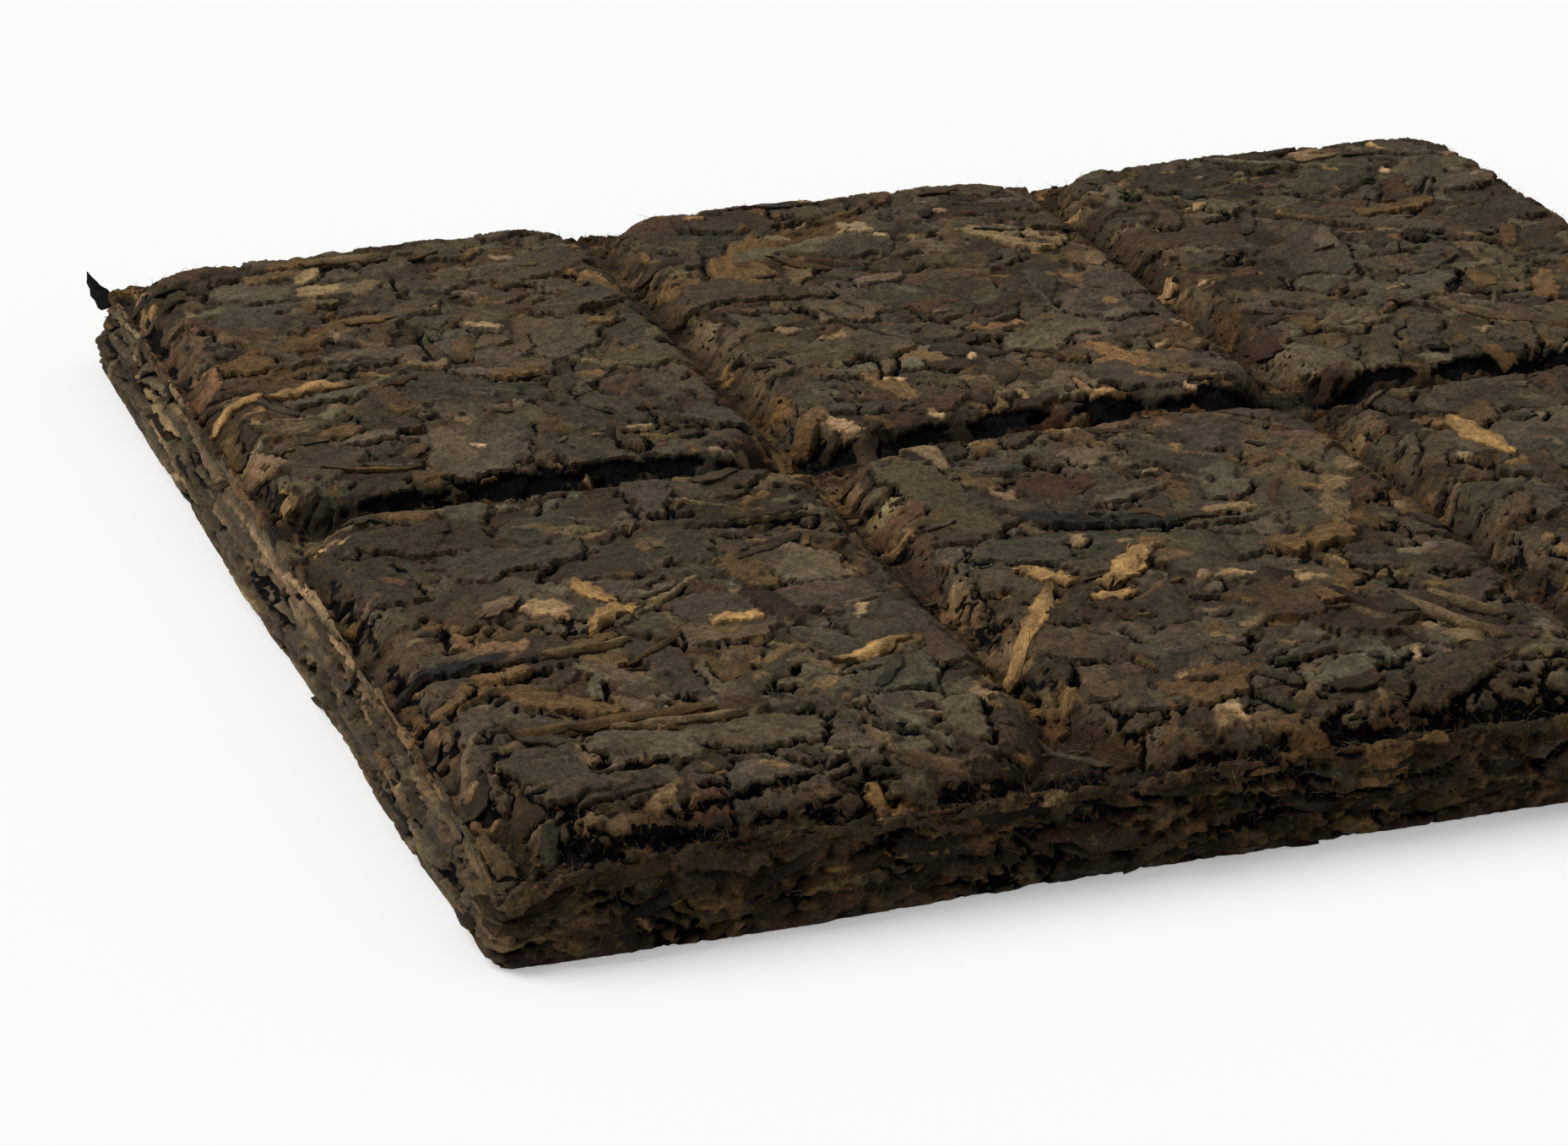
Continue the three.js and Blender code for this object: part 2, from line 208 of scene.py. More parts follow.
class Form:
    """The brick's form: where a place on a chart of its top, walls or underside lies."""

    LENGTHS = (
        "rim_height", "pad_height", "floor", "shoulder", "pad_corner", "corner", "round",
        "top_swell", "wall_swell", "worn_reach", "worn_drop",
    )

    def __init__(self, sizes):
        for name in self.LENGTHS:
            setattr(self, name, getattr(sizes, name) / MM)
        self.columns, self.rows = sizes.columns, sizes.rows
        self.shoulder_power, self.front_slope = sizes.shoulder_power, sizes.front_slope
        self.half_length = (sizes.length / 2 - sizes.leaf_reach) / MM
        self.half_width = (sizes.width / 2 - sizes.leaf_reach) / MM
        margin = sizes.edge_margin / MM
        self.column_pitch = 2 * (self.half_length - margin) / self.columns
        self.row_pitch = 2 * (self.half_width - margin) / self.rows
        self.wall_top = self.rim_height - self.round
        self.straights = (2 * (self.half_length - self.corner), 2 * (self.half_width - self.corner))
        self.arc = self.corner * math.pi / 2
        self.girth = 2 * sum(self.straights) + 4 * self.arc

    @staticmethod
    def groove_distance(place, pitch, count):
        """How far a place is from the nearest groove line or outer edge in one direction."""
        cells = place / pitch + count / 2
        return np.abs(cells - np.round(np.clip(cells, 0, count))) * pitch

    def pad_share(self, x, y):
        """0 on a groove's floor and 1 on top of a pad."""
        dx = self.groove_distance(x, self.column_pitch, self.columns)
        front = y < (1 - self.rows) * self.row_pitch / 2
        dy = self.groove_distance(y, self.row_pitch, self.rows) / np.where(front, self.front_slope, 1)
        reach = self.shoulder + self.pad_corner
        cut = np.hypot(np.maximum(reach - dx, 0), np.maximum(reach - dy, 0))
        depth = np.minimum(np.minimum(dx, dy), reach - np.minimum(cut, reach))
        share = np.clip((depth - self.floor) / (self.shoulder - self.floor), 0, 1)
        return 1 - (1 - share) ** self.shoulder_power

    def top_height(self, x, y):
        share = self.pad_share(x, y)
        worn = np.hypot(x + self.half_length, y + self.half_width) / self.worn_reach
        drop = self.worn_drop * np.maximum(1 - worn, 0) ** 2
        evenness = FLOOR_SWELL_SHARE + (1 - FLOOR_SWELL_SHARE) * share
        level = self.rim_height + (self.pad_height - self.rim_height) * share
        return level + self.top_swell * swell(x, y, TOP_PHASE) * evenness - drop

    def rim_distance(self, x, y):
        """Distance out past the outline, below 0 inside it, and the way out."""
        u = np.abs(x) - (self.half_length - self.corner)
        v = np.abs(y) - (self.half_width - self.corner)
        corner = (u > 0) & (v > 0)
        reach = np.where(corner, np.hypot(u, v), 1.0)
        distance = np.where(corner, reach, np.maximum(u, v)) - self.corner
        way_x = np.where(corner, u / reach, u > v) * np.sign(x)
        way_y = np.where(corner, v / reach, v >= u) * np.sign(y)
        return distance, way_x, way_y

    def rim_place(self, s):
        """The outline's point and way out, s along it from the front left corner."""
        s = np.mod(s, self.girth)
        x, y = np.zeros_like(s), np.zeros_like(s)
        way_x, way_y = np.zeros_like(s), np.zeros_like(s)
        a, b = self.half_length - self.corner, self.half_width - self.corner
        start = 0.0
        centres = ((a, -b), (a, b), (-a, b), (-a, -b))
        for side, (cx, cy) in enumerate(centres):
            out = -math.pi / 2 + side * math.pi / 2
            along = self.straights[side % 2]
            on_side = (s >= start) & (s < start + along)
            back = along - (s[on_side] - start)
            way_x[on_side], way_y[on_side] = math.cos(out), math.sin(out)
            x[on_side] = cx + self.corner * math.cos(out) + math.sin(out) * back
            y[on_side] = cy + self.corner * math.sin(out) - math.cos(out) * back
            start += along
            on_arc = (s >= start) & (s < start + self.arc)
            turn = out + (s[on_arc] - start) / self.corner
            way_x[on_arc], way_y[on_arc] = np.cos(turn), np.sin(turn)
            x[on_arc] = cx + self.corner * np.cos(turn)
            y[on_arc] = cy + self.corner * np.sin(turn)
            start += self.arc
        return x, y, way_x, way_y

    def facing(self, s):
        """Which wall a place on the outline belongs to: 0 front, 1 right, 2 back and 3 left."""
        _, _, way_x, way_y = self.rim_place(np.array([s]))
        return int(np.argmax([-way_y[0], way_x[0], way_y[0], -way_x[0]]))

    def place(self, rim_x, rim_y, way_x, way_y, over, lift):
        """A point lift off the form, over past the rim point and down the wall."""
        r = self.round
        inner = np.minimum(over, -r)
        x, y = rim_x + way_x * inner, rim_y + way_y * inner
        height = self.top_height(x, y)
        slope_x = (self.top_height(x + SLOPE_STEP, y) - height) / SLOPE_STEP
        slope_y = (self.top_height(x, y + SLOPE_STEP) - height) / SLOPE_STEP
        turn = np.clip((over + r) / r, 0, math.pi / 2)
        fall = np.maximum(over + r - r * math.pi / 2, 0) * (height - r) / self.wall_top
        z = height - r + r * np.cos(turn) - fall
        z = np.where(z < FOOT, FOOT * np.exp((z - FOOT) / FOOT), z)
        inset = np.interp(z, WALL_HEIGHTS, WALL_INSETS)
        waviness = swell(rim_x, rim_y, WALL_PHASE + WALL_PHASE_RISE * z)
        inset = inset + self.wall_swell * (1 + waviness) / 2
        out = inner + r * np.sin(turn) - inset * turn / (math.pi / 2)
        up = np.stack([-slope_x, -slope_y, np.ones_like(z)], -1)
        up /= np.linalg.norm(up, axis=-1, keepdims=True)
        level = np.stack([way_x, way_y, np.zeros_like(z)], -1)
        normal = np.cos(turn)[..., None] * up + np.sin(turn)[..., None] * level
        normal /= np.linalg.norm(normal, axis=-1, keepdims=True)
        point = np.stack([rim_x + way_x * out, rim_y + way_y * out, z], -1)
        point = point + normal * lift[..., None]
        point[..., 2] = np.maximum(point[..., 2], LOWEST)
        return point

    def on_top(self, x, y, lift):
        distance, way_x, way_y = self.rim_distance(x, y)
        return self.place(x - way_x * distance, y - way_y * distance, way_x, way_y, distance, lift)

    def on_wall(self, s, t, lift):
        """s along the outline and t up the wall from the bench, and over onto the top."""
        over = self.round * (math.pi / 2 - 1) + self.wall_top - t
        return self.place(*self.rim_place(s), over, lift)

    def on_underside(self, x, y, lift):
        distance, way_x, way_y = self.rim_distance(x, y)
        pull = np.maximum(distance + UNDERSIDE_INSET, 0)
        z = np.maximum(UNDERSIDE_LEVEL - lift, 0)
        return np.stack([x - way_x * pull, y - way_y * pull, z], -1)


def blend_rows(count, coarse, wrap):
    """A matrix that blends smoothly between coarse rows of values to fill count rows."""
    step = coarse / count if wrap else (coarse - 1) / (count - 1)
    place = np.arange(count) * step
    low = np.floor(place).astype(int)
    share = place - low
    share = share * share * (3 - 2 * share)
    rows = np.zeros((count, coarse))
    rows[np.arange(count), low % coarse] += 1 - share
    rows[np.arange(count), (low + 1) % coarse] += share
    return rows


def smooth_noise(rng, size, cells, wrap=False):
    """Random heights between -1 and 1 over a chart, smooth over this many cells."""
    coarse = [max(int(n / cells), 2) for n in size]
    values = rng.uniform(-1, 1, coarse)
    return blend_rows(size[0], coarse[0], wrap) @ values @ blend_rows(size[1], coarse[1], False).T


def ease(share):
    share = np.clip(share, 0, 1)
    return share * share * (3 - 2 * share)


class Shape:
    """A kind of leaf: its sizes in millimetres, and the ways in which it isn't the usual one."""

    def __init__(self, length, breadth, thick, **ways):
        self.length, self.breadth, self.thick = length, breadth, thick
        for name, value in {**self.USUAL, **ways}.items():
            setattr(self, name, value)

    def folded(self, rng, relief, u, v):
        """Adds a crease and ripples to a leaf's relief; u and v go from -1 to 1 over the leaf."""
        ridge = v - rng.uniform(-0.6, 0.6) - rng.uniform(-0.5, 0.5) * u
        relief = relief + self.crease * rng.uniform(-1, 1) * np.exp(-((ridge / self.RIDGE) ** 2))
        ripple = np.sin(u * rng.uniform(*self.RIPPLES) + v * rng.uniform(-2, 2) + rng.uniform(0, 6.3))
        return relief + self.wave * rng.uniform(0.3, 1) * ripple


class Leaf(Shape):
    """One kind of leaf in the mat, and how it lies."""

    RIDGE = 0.3
    RIPPLES = (2, 6)
    USUAL = {
        "tip": (0.2, 0.8), "ragged": 0.3, "torn": 0.3, "stiff": 0.6, "crown": 0.0, "crease": 0.06,
        "wave": 0.05, "bend": 0.05, "crack": 0.4, "soft": 0.35,
    }


LEAVES = {
    "plate": Leaf(
        (5, 14), (2.6, 5.8), (0.2, 0.36), tip=(0.3, 0.9), stiff=0.8, crease=0.05, wave=0.03,
        ragged=0.4, torn=0.45, crack=0.8,
    ),
    "flake": Leaf((3, 7.5), (1.1, 2.8), (0.14, 0.3), stiff=0.65, wave=0.02, torn=0.4, crack=0.62),
    "chip": Leaf((1.0, 3.0), (0.5, 1.3), (0.1, 0.24), torn=0.3, stiff=0.45, crack=0.4),
    "strip": Leaf(
        (5, 14), (0.5, 1.0), (0.1, 0.2), tip=(0.15, 0.6), torn=0.15, crown=0.05, bend=0.1, crack=0.4
    ),
    "layer": Leaf((2, 7), (0.6, 2.0), (0.3, 0.6), torn=0.5, stiff=0.4, crack=0.6),
    "streak": Leaf((6, 18), (0.4, 1.0), (0.12, 0.3), tip=(0.1, 0.4), torn=0.12, stiff=0.6, crack=0.5),
    "hollow": Leaf((3, 9), (0.5, 1.4), (0, 0), tip=(0.1, 0.4), ragged=0.5, torn=0.3),
}
OUTLINE_KNOTS = 7
END_KNOTS = 4
EDGE = 0.1  # how far a raised edge takes to rise
CRACK_REACH = 0.13  # how far a crack lies outside the edge that it follows, and its half width
FELT = 0.08  # how rough the mat is all over
COVERED_CRACK = 0.12  # how much of an older crack still shows through the leaf over it
MATTED_THICK = 0.4  # how thick a leaf looks that's matted into the rest, with no open edge
MATTED_TINT = (0.55, 1.0)  # how much of such a leaf's own colour shows
OPEN_TINT = (0.8, 1.0)  # the same for a leaf with an open edge
CRACKS = (0.9, 1.3)  # how strong the cracks along open edges are
CRACK_WIDTHS = (0.6, 1.7)  # how much broader or narrower they are than usual
SUNK_THICK = 0.15  # share of its thickness that a leaf has on the side that sinks in
BED_RANK = 0.6  # a leaf lies on this quantile of the heights under it
PAINT_LAP = 0.06  # how far a leaf's colour reaches past its outline
PAINT_EDGE = (0.12, 0.4)  # over how far it fades there on the proud side, and how much more behind
PROUD_LIGHT = (0.92, 0.16)  # painted shade on a leaf's sunk side and painted highlight on its proud one: how bright the sunk side is, and how much brighter the proud one


def turned(x, y, heading):
    """How far a place lies along a heading, and to the left of it."""
    along = x * math.cos(heading) + y * math.sin(heading)
    return along, y * math.cos(heading) - x * math.sin(heading)


class Mat:
    """A flat chart of leaf matted together: its height, cracks, colours and grain, in cells."""

    # Noises that tear the leaves' edges, and that roughen the mat: cells across, and share.
    TEARS = ((2.2, 0.5), (4.5, 0.7), (11, 0.6))
    FELTS = ((1.6, 0.35), (3, 0.5), (6, 0.4))
    LEVELLED = 5.0  # over this reach the mat is as high everywhere
    HOLLOW_REACH = 1.2  # places lower than their surroundings within this reach are shaded
    HOLLOW_DEPTH = 0.4
    HOLLOW_SHADE = 0.6
    CRACKED = (0.22, 0.67)  # how strong a crack is where its painted dark shade starts to show, and where it is quite dark

    def __init__(self, rng, low, high, ground, cell=0.2, wrap=False):
        self.low = np.array(low, float)
        self.wrap = wrap
        span = np.array(high, float) - self.low
        cells = np.round(span / cell).astype(int)
        self.size = tuple(cells + (0 if wrap else 1, 1))
        self.step = span / cells
        self.height = smooth_noise(rng, self.size, 6, wrap) * 0.1
        self.crack = np.zeros(self.size)
        self.tint = np.broadcast_to(np.array(ground), (*self.size, 3)).copy()
        self.grain = np.zeros((*self.size, 3))
        self.tear = sum(
            share * smooth_noise(rng, self.size, reach, wrap) for reach, share in self.TEARS
        )
        self.patches = smooth_noise(rng, self.size, 14, wrap)

    def places(self):
        """The chart's places, as two grids."""
        a, b = (self.low[k] + np.arange(self.size[k]) * self.step[k] for k in (0, 1))
        return np.meshgrid(a, b, indexing="ij")

    def window(self, a, b, reach):
        """The cells round a place, and how far each is from it."""
        ranges = []
        for k, place in enumerate((a, b)):
            first = math.floor((place - reach - self.low[k]) / self.step[k])
            last = math.ceil((place + reach - self.low[k]) / self.step[k])
            if k == 1 or not self.wrap:
                first, last = max(first, 0), min(last, self.size[k] - 1)
            ranges.append(np.arange(first, last + 1))
        off_a = (self.low[0] + ranges[0] * self.step[0] - a)[:, None]
        off_b = (self.low[1] + ranges[1] * self.step[1] - b)[None, :]
        if self.wrap and ranges[0].size and (ranges[0][0] < 0 or ranges[0][-1] >= self.size[0]):
            return np.ix_(ranges[0] % self.size[0], ranges[1]), off_a, off_b
        if not ranges[0].size or not ranges[1].size:
            return None, off_a, off_b
        cells = (slice(ranges[0][0], ranges[0][-1] + 1), slice(ranges[1][0], ranges[1][-1] + 1))
        return cells, off_a, off_b

    @staticmethod
    def depth_in(rng, leaf, length, breadth, along, across):
        """How far inside a leaf's ragged outline each cell lies."""
        knots = np.linspace(-1, 1, OUTLINE_KNOTS)
        u = along / (length / 2)
        v = across / (breadth / 2)
        tips = rng.uniform(*leaf.tip, 2)
        tip = np.where(knots < 0, tips[0], tips[1])
        body = tip + (1 - tip) * np.maximum(1 - knots**2, 0) ** 0.6
        sides = [body * (1 + leaf.ragged * rng.uniform(-1, 0.7, knots.size)) for _ in (0, 1)]
        side = np.where(v > 0, np.interp(u, knots, sides[0]), np.interp(u, knots, sides[1]))
        end_knots = np.linspace(-1, 1, END_KNOTS)
        ends = [1 + leaf.ragged * rng.uniform(-1, 0.3, END_KNOTS) * breadth / length for _ in (0, 1)]
        end = np.where(u > 0, np.interp(v, end_knots, ends[0]), np.interp(v, end_knots, ends[1]))
        return np.minimum((side - np.abs(v)) * breadth / 2, (end - np.abs(u)) * length / 2)

    def press(
        self, rng, kind, a, b, heading, tint,
        length=None, breadth=None, bend=None, rise=0.0, lean=None, shown=False,
    ):
        """Presses one leaf into the mat: one side of it stands proud, the other sinks in.

        lean is the way to its proud side, and shown keeps it from being matted into the rest.
        """
        leaf = LEAVES[kind]
        length = rng.uniform(*leaf.length) if length is None else length
        breadth = rng.uniform(*leaf.breadth) if breadth is None else breadth
        bend = rng.uniform(-leaf.bend, leaf.bend) if bend is None else bend
        lean = rng.uniform(0, 2 * math.pi) if lean is None else lean
        thick = rng.uniform(*leaf.thick)
        open_edge = shown or rng.uniform() < leaf.crack
        crack = rng.uniform(*CRACKS) if open_edge else 0.0
        own_share = rng.uniform(*(OPEN_TINT if open_edge else MATTED_TINT))
        thick *= 1 if open_edge else MATTED_THICK
        width = CRACK_REACH * rng.uniform(*CRACK_WIDTHS)
        reach = math.hypot(length, breadth) / 2 + abs(bend) * length + 0.5
        cells, off_a, off_b = self.window(a, b, reach)
        if cells is None:
            return
        along, across = turned(off_a, off_b, heading)
        u = along / (length / 2)
        across = across - bend * length * (u * u - 1 / 3)
        v = across / (breadth / 2)
        tear = self.tear[cells]
        depth = self.depth_in(rng, leaf, length, breadth, along, across) + leaf.torn * tear
        inside = depth > 0
        if not inside.any():
            return
        aside = lean - heading
        span = math.hypot(length / 2 * math.cos(aside), breadth / 2 * math.sin(aside))
        proud = np.clip(0.5 + 0.5 * turned(off_a, off_b, lean)[0] / span, 0, 1)
        bed = self.height[cells]
        relief = leaf.folded(rng, leaf.crown * np.clip(1 - v * v, 0, 1), u, v)
        level = np.quantile(bed[inside], BED_RANK)
        stood = (thick + rise) * (SUNK_THICK + (1 - SUNK_THICK) * proud)
        target = (1 - leaf.stiff) * bed + leaf.stiff * level + stood + relief
        cover = ease(depth / (EDGE + leaf.soft * (1 - proud) ** 2))
        self.height[cells] = bed + cover * (target - bed)
        # A crack along the proud edge, sunk in and painted dark as the shade under that edge.
        ring = np.exp(-(((depth + width) / (width + 0.02)) ** 2))
        along_edge = np.clip(0.75 + 1.2 * self.patches[cells], 0, 1)
        fresh = crack * ring * np.clip(2.6 * proud - 0.8, 0, 1) * along_edge
        self.crack[cells] = np.maximum(self.crack[cells] * (1 - (1 - COVERED_CRACK) * cover), fresh)
        faded = PAINT_EDGE[0] + PAINT_EDGE[1] * (1 - proud)
        paint = own_share * np.clip((depth + PAINT_LAP) / faded, 0, 1)[..., None]
        # The leaf's colour with painted shade on its sunk side and painted highlight on its proud
        # side.
        shade = np.array(tint) * (PROUD_LIGHT[0] + PROUD_LIGHT[1] * proud)[..., None]
        self.tint[cells] += paint * (shade - self.tint[cells])
        seat = rng.uniform(0, 100, 3)
        own = np.stack([along + seat[0] + 0 * across, across + seat[1], seat[2] + 0 * across], -1)
        self.grain[cells] = np.where(inside[..., None], own, self.grain[cells])

    def hollow(self, rng, a, b, length, breadth, heading, depth):
        """Opens a crevice, which is sunk in and painted dark as shade."""
        cells, off_a, off_b = self.window(a, b, math.hypot(length, breadth) / 2 + 0.5)
        if cells is None:
            return
        leaf = LEAVES["hollow"]
        inside = self.depth_in(rng, leaf, length, breadth, *turned(off_a, off_b, heading))
        inside = inside + leaf.torn * self.tear[cells]
        self.crack[cells] = np.maximum(self.crack[cells], depth * ease(inside / 0.2))

    def mean(self, field, reach):
        """A field averaged, twice, over squares of about this reach."""
        cells = max(int(reach / self.step[0] / 2), 1)
        for axis in (0, 1, 0, 1):
            if axis == 0 and self.wrap:
                first = np.take(field, range(-cells, 0), axis)
                last = np.take(field, range(cells), axis)
            else:
                first = np.repeat(np.take(field, [0], axis), cells, axis)
                last = np.repeat(np.take(field, [-1], axis), cells, axis)
            total = np.cumsum(np.concatenate([first, field, last], axis), axis)
            total = np.concatenate([np.zeros_like(np.take(total, [0], axis)), total], axis)
            count = field.shape[axis]
            high = np.take(total, range(2 * cells + 1, 2 * cells + 1 + count), axis)
            low = np.take(total, range(count), axis)
            field = (high - low) / (2 * cells + 1)
        return field

    def settle(self, rng, proud, deep, crack_depth, felted=FELT):
        """Levels the mat, sinks its cracks and shades its hollows.

        What is shown is the tint with painted shade in its hollows, and fourth how closed the mat is:
        0 where a crack lies open, which the material paints dark as shade.
        """
        relief = self.height - self.mean(self.height, self.LEVELLED)
        relief = np.where(relief > 0, proud * np.tanh(relief / proud), deep * np.tanh(relief / deep))
        felt = sum(
            share * (1 - 2.5 * np.abs(smooth_noise(rng, self.size, cells, self.wrap)))
            for cells, share in self.FELTS
        )
        relief = relief + felted * felt - crack_depth * self.crack
        sunk = np.clip((self.mean(relief, self.HOLLOW_REACH) - relief) / self.HOLLOW_DEPTH, 0, 1)
        light = (1 - self.HOLLOW_SHADE * sunk)[..., None]
        least, most = self.CRACKED
        closed = 1 - np.clip((self.crack - least) / (most - least), 0, 1)[..., None]
        self.relief = relief
        self.shown = np.concatenate([self.tint * light, closed], -1)

    def cells_at(self, a, b):
        i = np.round((a - self.low[0]) / self.step[0]).astype(int)
        j = np.round((b - self.low[1]) / self.step[1]).astype(int)
        i = i % self.size[0] if self.wrap else np.clip(i, 0, self.size[0] - 1)
        return i, np.clip(j, 0, self.size[1] - 1)


class Kind(Shape):
    """One kind of loose leaf, and the grid that its face is made on."""

    RIDGE = 0.28
    RIPPLES = (2, 7)
    USUAL = {
        "tip": (0.2, 0.8), "ragged": 0.25, "crown": (0.0, 0.05), "roll": 0.1, "crease": 0.08,
        "wave": 0.06, "bend": 0.06, "snake": 0.0, "stiff": 0.7, "sink": 0.35,
    }

    def __init__(self, length, breadth, thick, rows, ranks, **ways):
        super().__init__(length, breadth, thick, **ways)
        self.rows, self.ranks = rows, ranks
        u = np.linspace(-1, 1, rows)
        v = np.linspace(-1, 1, ranks)
        self.u = (np.sign(u) * np.abs(u) ** 0.85)[:, None]
        self.v = (np.sign(v) * np.abs(v) ** 0.8)[None, :]
        self.faces, self.upper = shell_faces(rows, ranks)

    def draw(self, rng, length=None, breadth=None, bend=None):
        """One piece's own shape: along, across and relief, and its thickness."""
        u, v = self.u, self.v
        length = length or rng.uniform(*self.length)
        breadth = breadth or rng.uniform(*self.breadth)
        sides = []
        for _ in (0, 1):
            tips = rng.uniform(*self.tip, 2)
            tip = np.where(u < 0, tips[0], tips[1])
            body = tip + (1 - tip) * np.maximum(1 - u**2, 0) ** 0.55
            torn = self.ragged * rng.uniform(-1, 0.7, self.rows)[:, None]
            sides.append(body * (1 + torn))
        across = breadth / 2 * v * np.where(v < 0, *sides)
        torn_ends = self.ragged * rng.uniform(-1, 0.5, (2, self.ranks))
        ends = np.where(u < 0, torn_ends[0][None, :], torn_ends[1][None, :])
        along = length / 2 * u * (1 + ends * np.abs(u) ** 4 * min(2 * breadth / length, 1))
        curve = rng.uniform(-self.bend, self.bend) if bend is None else bend
        across = across + curve * length * (u**2 - 1 / 3)
        across = across + rng.uniform(-self.snake, self.snake) * length * (u**3 - 0.6 * u)
        along = along + rng.uniform(-0.25, 0.25) * across
        relief = rng.uniform(*self.crown) * (1 - v**2) * (1 - 0.5 * u**2)
        relief = self.folded(rng, relief - self.roll * np.maximum(v**4, u**6), u, v)
        return along, across, relief, rng.uniform(*self.thick)


def shell_faces(rows, ranks):
    """Faces of one closed shell: its face, its walls and its underside.

    The face's points come first, row by row, and then the rim's points again, lower down.
    Returns {corners: faces} and which faces belong to the smooth upper side.
    """
    grid = np.arange(rows * ranks).reshape(rows, ranks)
    rim = rim_of(grid)
    low = {point: rows * ranks + k for k, point in enumerate(rim)}
    quads = [tuple(face) for face in quads_of(grid)]
    upper = len(quads)
    for k, point in enumerate(rim):
        after = rim[(k + 1) % len(rim)]
        quads.append((low[point], low[after], after, point))
    for i in range(1, rows - 2):
        quads.append(tuple(low[p] for p in (grid[i, 0], grid[i, -1], grid[i + 1, -1], grid[i + 1, 0])))
    first = [low[p] for p in [*grid[0, :], grid[1, -1], grid[1, 0]]]
    last = [low[p] for p in [grid[-2, 0], grid[-2, -1], *grid[-1, ::-1]]]
    return {"quads": np.array(quads), "ends": np.array([first, last]), "rim": rim}, upper


def quads_of(grid):
    """The squares of a grid of points, facing up where rows run along x and ranks along y."""
    return np.stack([grid[:-1, :-1], grid[1:, :-1], grid[1:, 1:], grid[:-1, 1:]], -1).reshape(-1, 4)


def rim_of(grid):
    """The border of a grid of points, counter-clockwise."""
    return np.concatenate([grid[:, 0], grid[-1, 1:], grid[-2::-1, -1], grid[0, -2:0:-1]])


KINDS = {
    "flake": Kind((2.4, 6.5), (1.0, 2.6), (0.14, 0.26), 7, 4, ragged=0.35),
    "chip": Kind((0.9, 2.6), (0.5, 1.2), (0.14, 0.26), 5, 3, ragged=0.4),
    "strip": Kind(
        (3.5, 10), (0.4, 0.9), (0.16, 0.28), 11, 4, tip=(0.15, 0.7), crown=(0.03, 0.1), bend=0.1,
        sink=0.5,
    ),
    "bud": Kind(
        (4, 9), (1.0, 1.7), (0.24, 0.36), 16, 6, tip=(0.08, 0.35), ragged=0.42, crown=(0.02, 0.1),
        roll=0.05, crease=0.16, wave=0.08, bend=0.12, snake=0.16, sink=0.5, stiff=0.4,
    ),
    "sliver": Kind((2.0, 5.5), (0.35, 0.8), (0.16, 0.3), 6, 3, tip=(0.1, 0.4), ragged=0.4),
}


class Heap:
    """Loose pieces of one kind, laid on a settled mat."""

    BED_RANK = 0.65

    def __init__(self, kind):
        self.kind = KINDS[kind]
        self.a, self.b, self.lift, self.thick = [], [], [], []
        self.grain, self.tint = [], []

    def lay(self, rng, mat, a, b, heading, tint, rise=0.0, tilt=(0.0, 0.0), **shape):
        """Lays one piece; tilt says how much higher its far end and its left side lie."""
        kind = self.kind
        along, across, relief, thick = kind.draw(rng, **shape)
        place_a = a + along * math.cos(heading) - across * math.sin(heading)
        place_b = b + along * math.sin(heading) + across * math.cos(heading)
        under = mat.relief[mat.cells_at(place_a, place_b)]
        rest = (1 - kind.stiff) * under + kind.stiff * np.quantile(under, self.BED_RANK)
        lift = rest + (1 - kind.sink) * thick + relief + rise
        lift = lift + tilt[0] * kind.u + tilt[1] * kind.v
        self.a.append(place_a)
        self.b.append(place_b)
        self.lift.append(lift)
        self.thick.append(thick)
        self.grain.append(np.stack([along, across, np.full_like(along, rng.uniform(0, 100))], -1))
        self.tint.append(tint)

    @staticmethod
    def patchiness(a, b):
        """Uneven light and dark over each piece, from waves over the chart."""
        return 0.24 * np.sin(1.3 * a + 0.8 * b) + 0.18 * np.sin(3.9 * b - 2.7 * a + 1.0)

    def finish(self, name, place, edge_shade=0.25, under_shade=0.4):
        """Turns the heap into one mesh: place wraps it round the form."""
        kind = self.kind
        a, b, lift = (np.array(part) for part in (self.a, self.b, self.lift))
        thick = np.array(self.thick)[:, None]
        count, rows, ranks = a.shape
        a, b, lift = (part.reshape(count, -1) for part in (a, b, lift))
        rim = kind.faces["rim"]
        edge = np.maximum(np.abs(kind.v) ** 5, np.abs(kind.u) ** 5)
        light = 1 - edge_shade * np.broadcast_to(edge, (rows, ranks)).reshape(1, -1)
        light = np.broadcast_to(light, (count, rows * ranks)) * (1 + self.patchiness(a, b))
        points = place(
            np.concatenate([a, a[:, rim]], 1),
            np.concatenate([b, b[:, rim]], 1),
            np.concatenate([lift, lift[:, rim] - thick], 1),
        )
        grain = np.array(self.grain).reshape(count, -1, 3)
        grain = np.concatenate([grain, grain[:, rim]], 1)
        light = np.concatenate([light, light[:, rim] * under_shade], 1)[..., None]
        tint = np.array(self.tint)[:, None, :] * light
        starts = (np.arange(count) * points.shape[1])[:, None, None]
        faces = [
            (kind.faces["quads"][None] + starts).reshape(-1, 4),
            (kind.faces["ends"][None] + starts).reshape(-1, ranks + 2),
        ]
        return make_piece(
            name, points.reshape(-1, 3), faces, tint.reshape(-1, 3), grain.reshape(-1, 3)
        )


SHARP_ANGLE = math.radians(42)


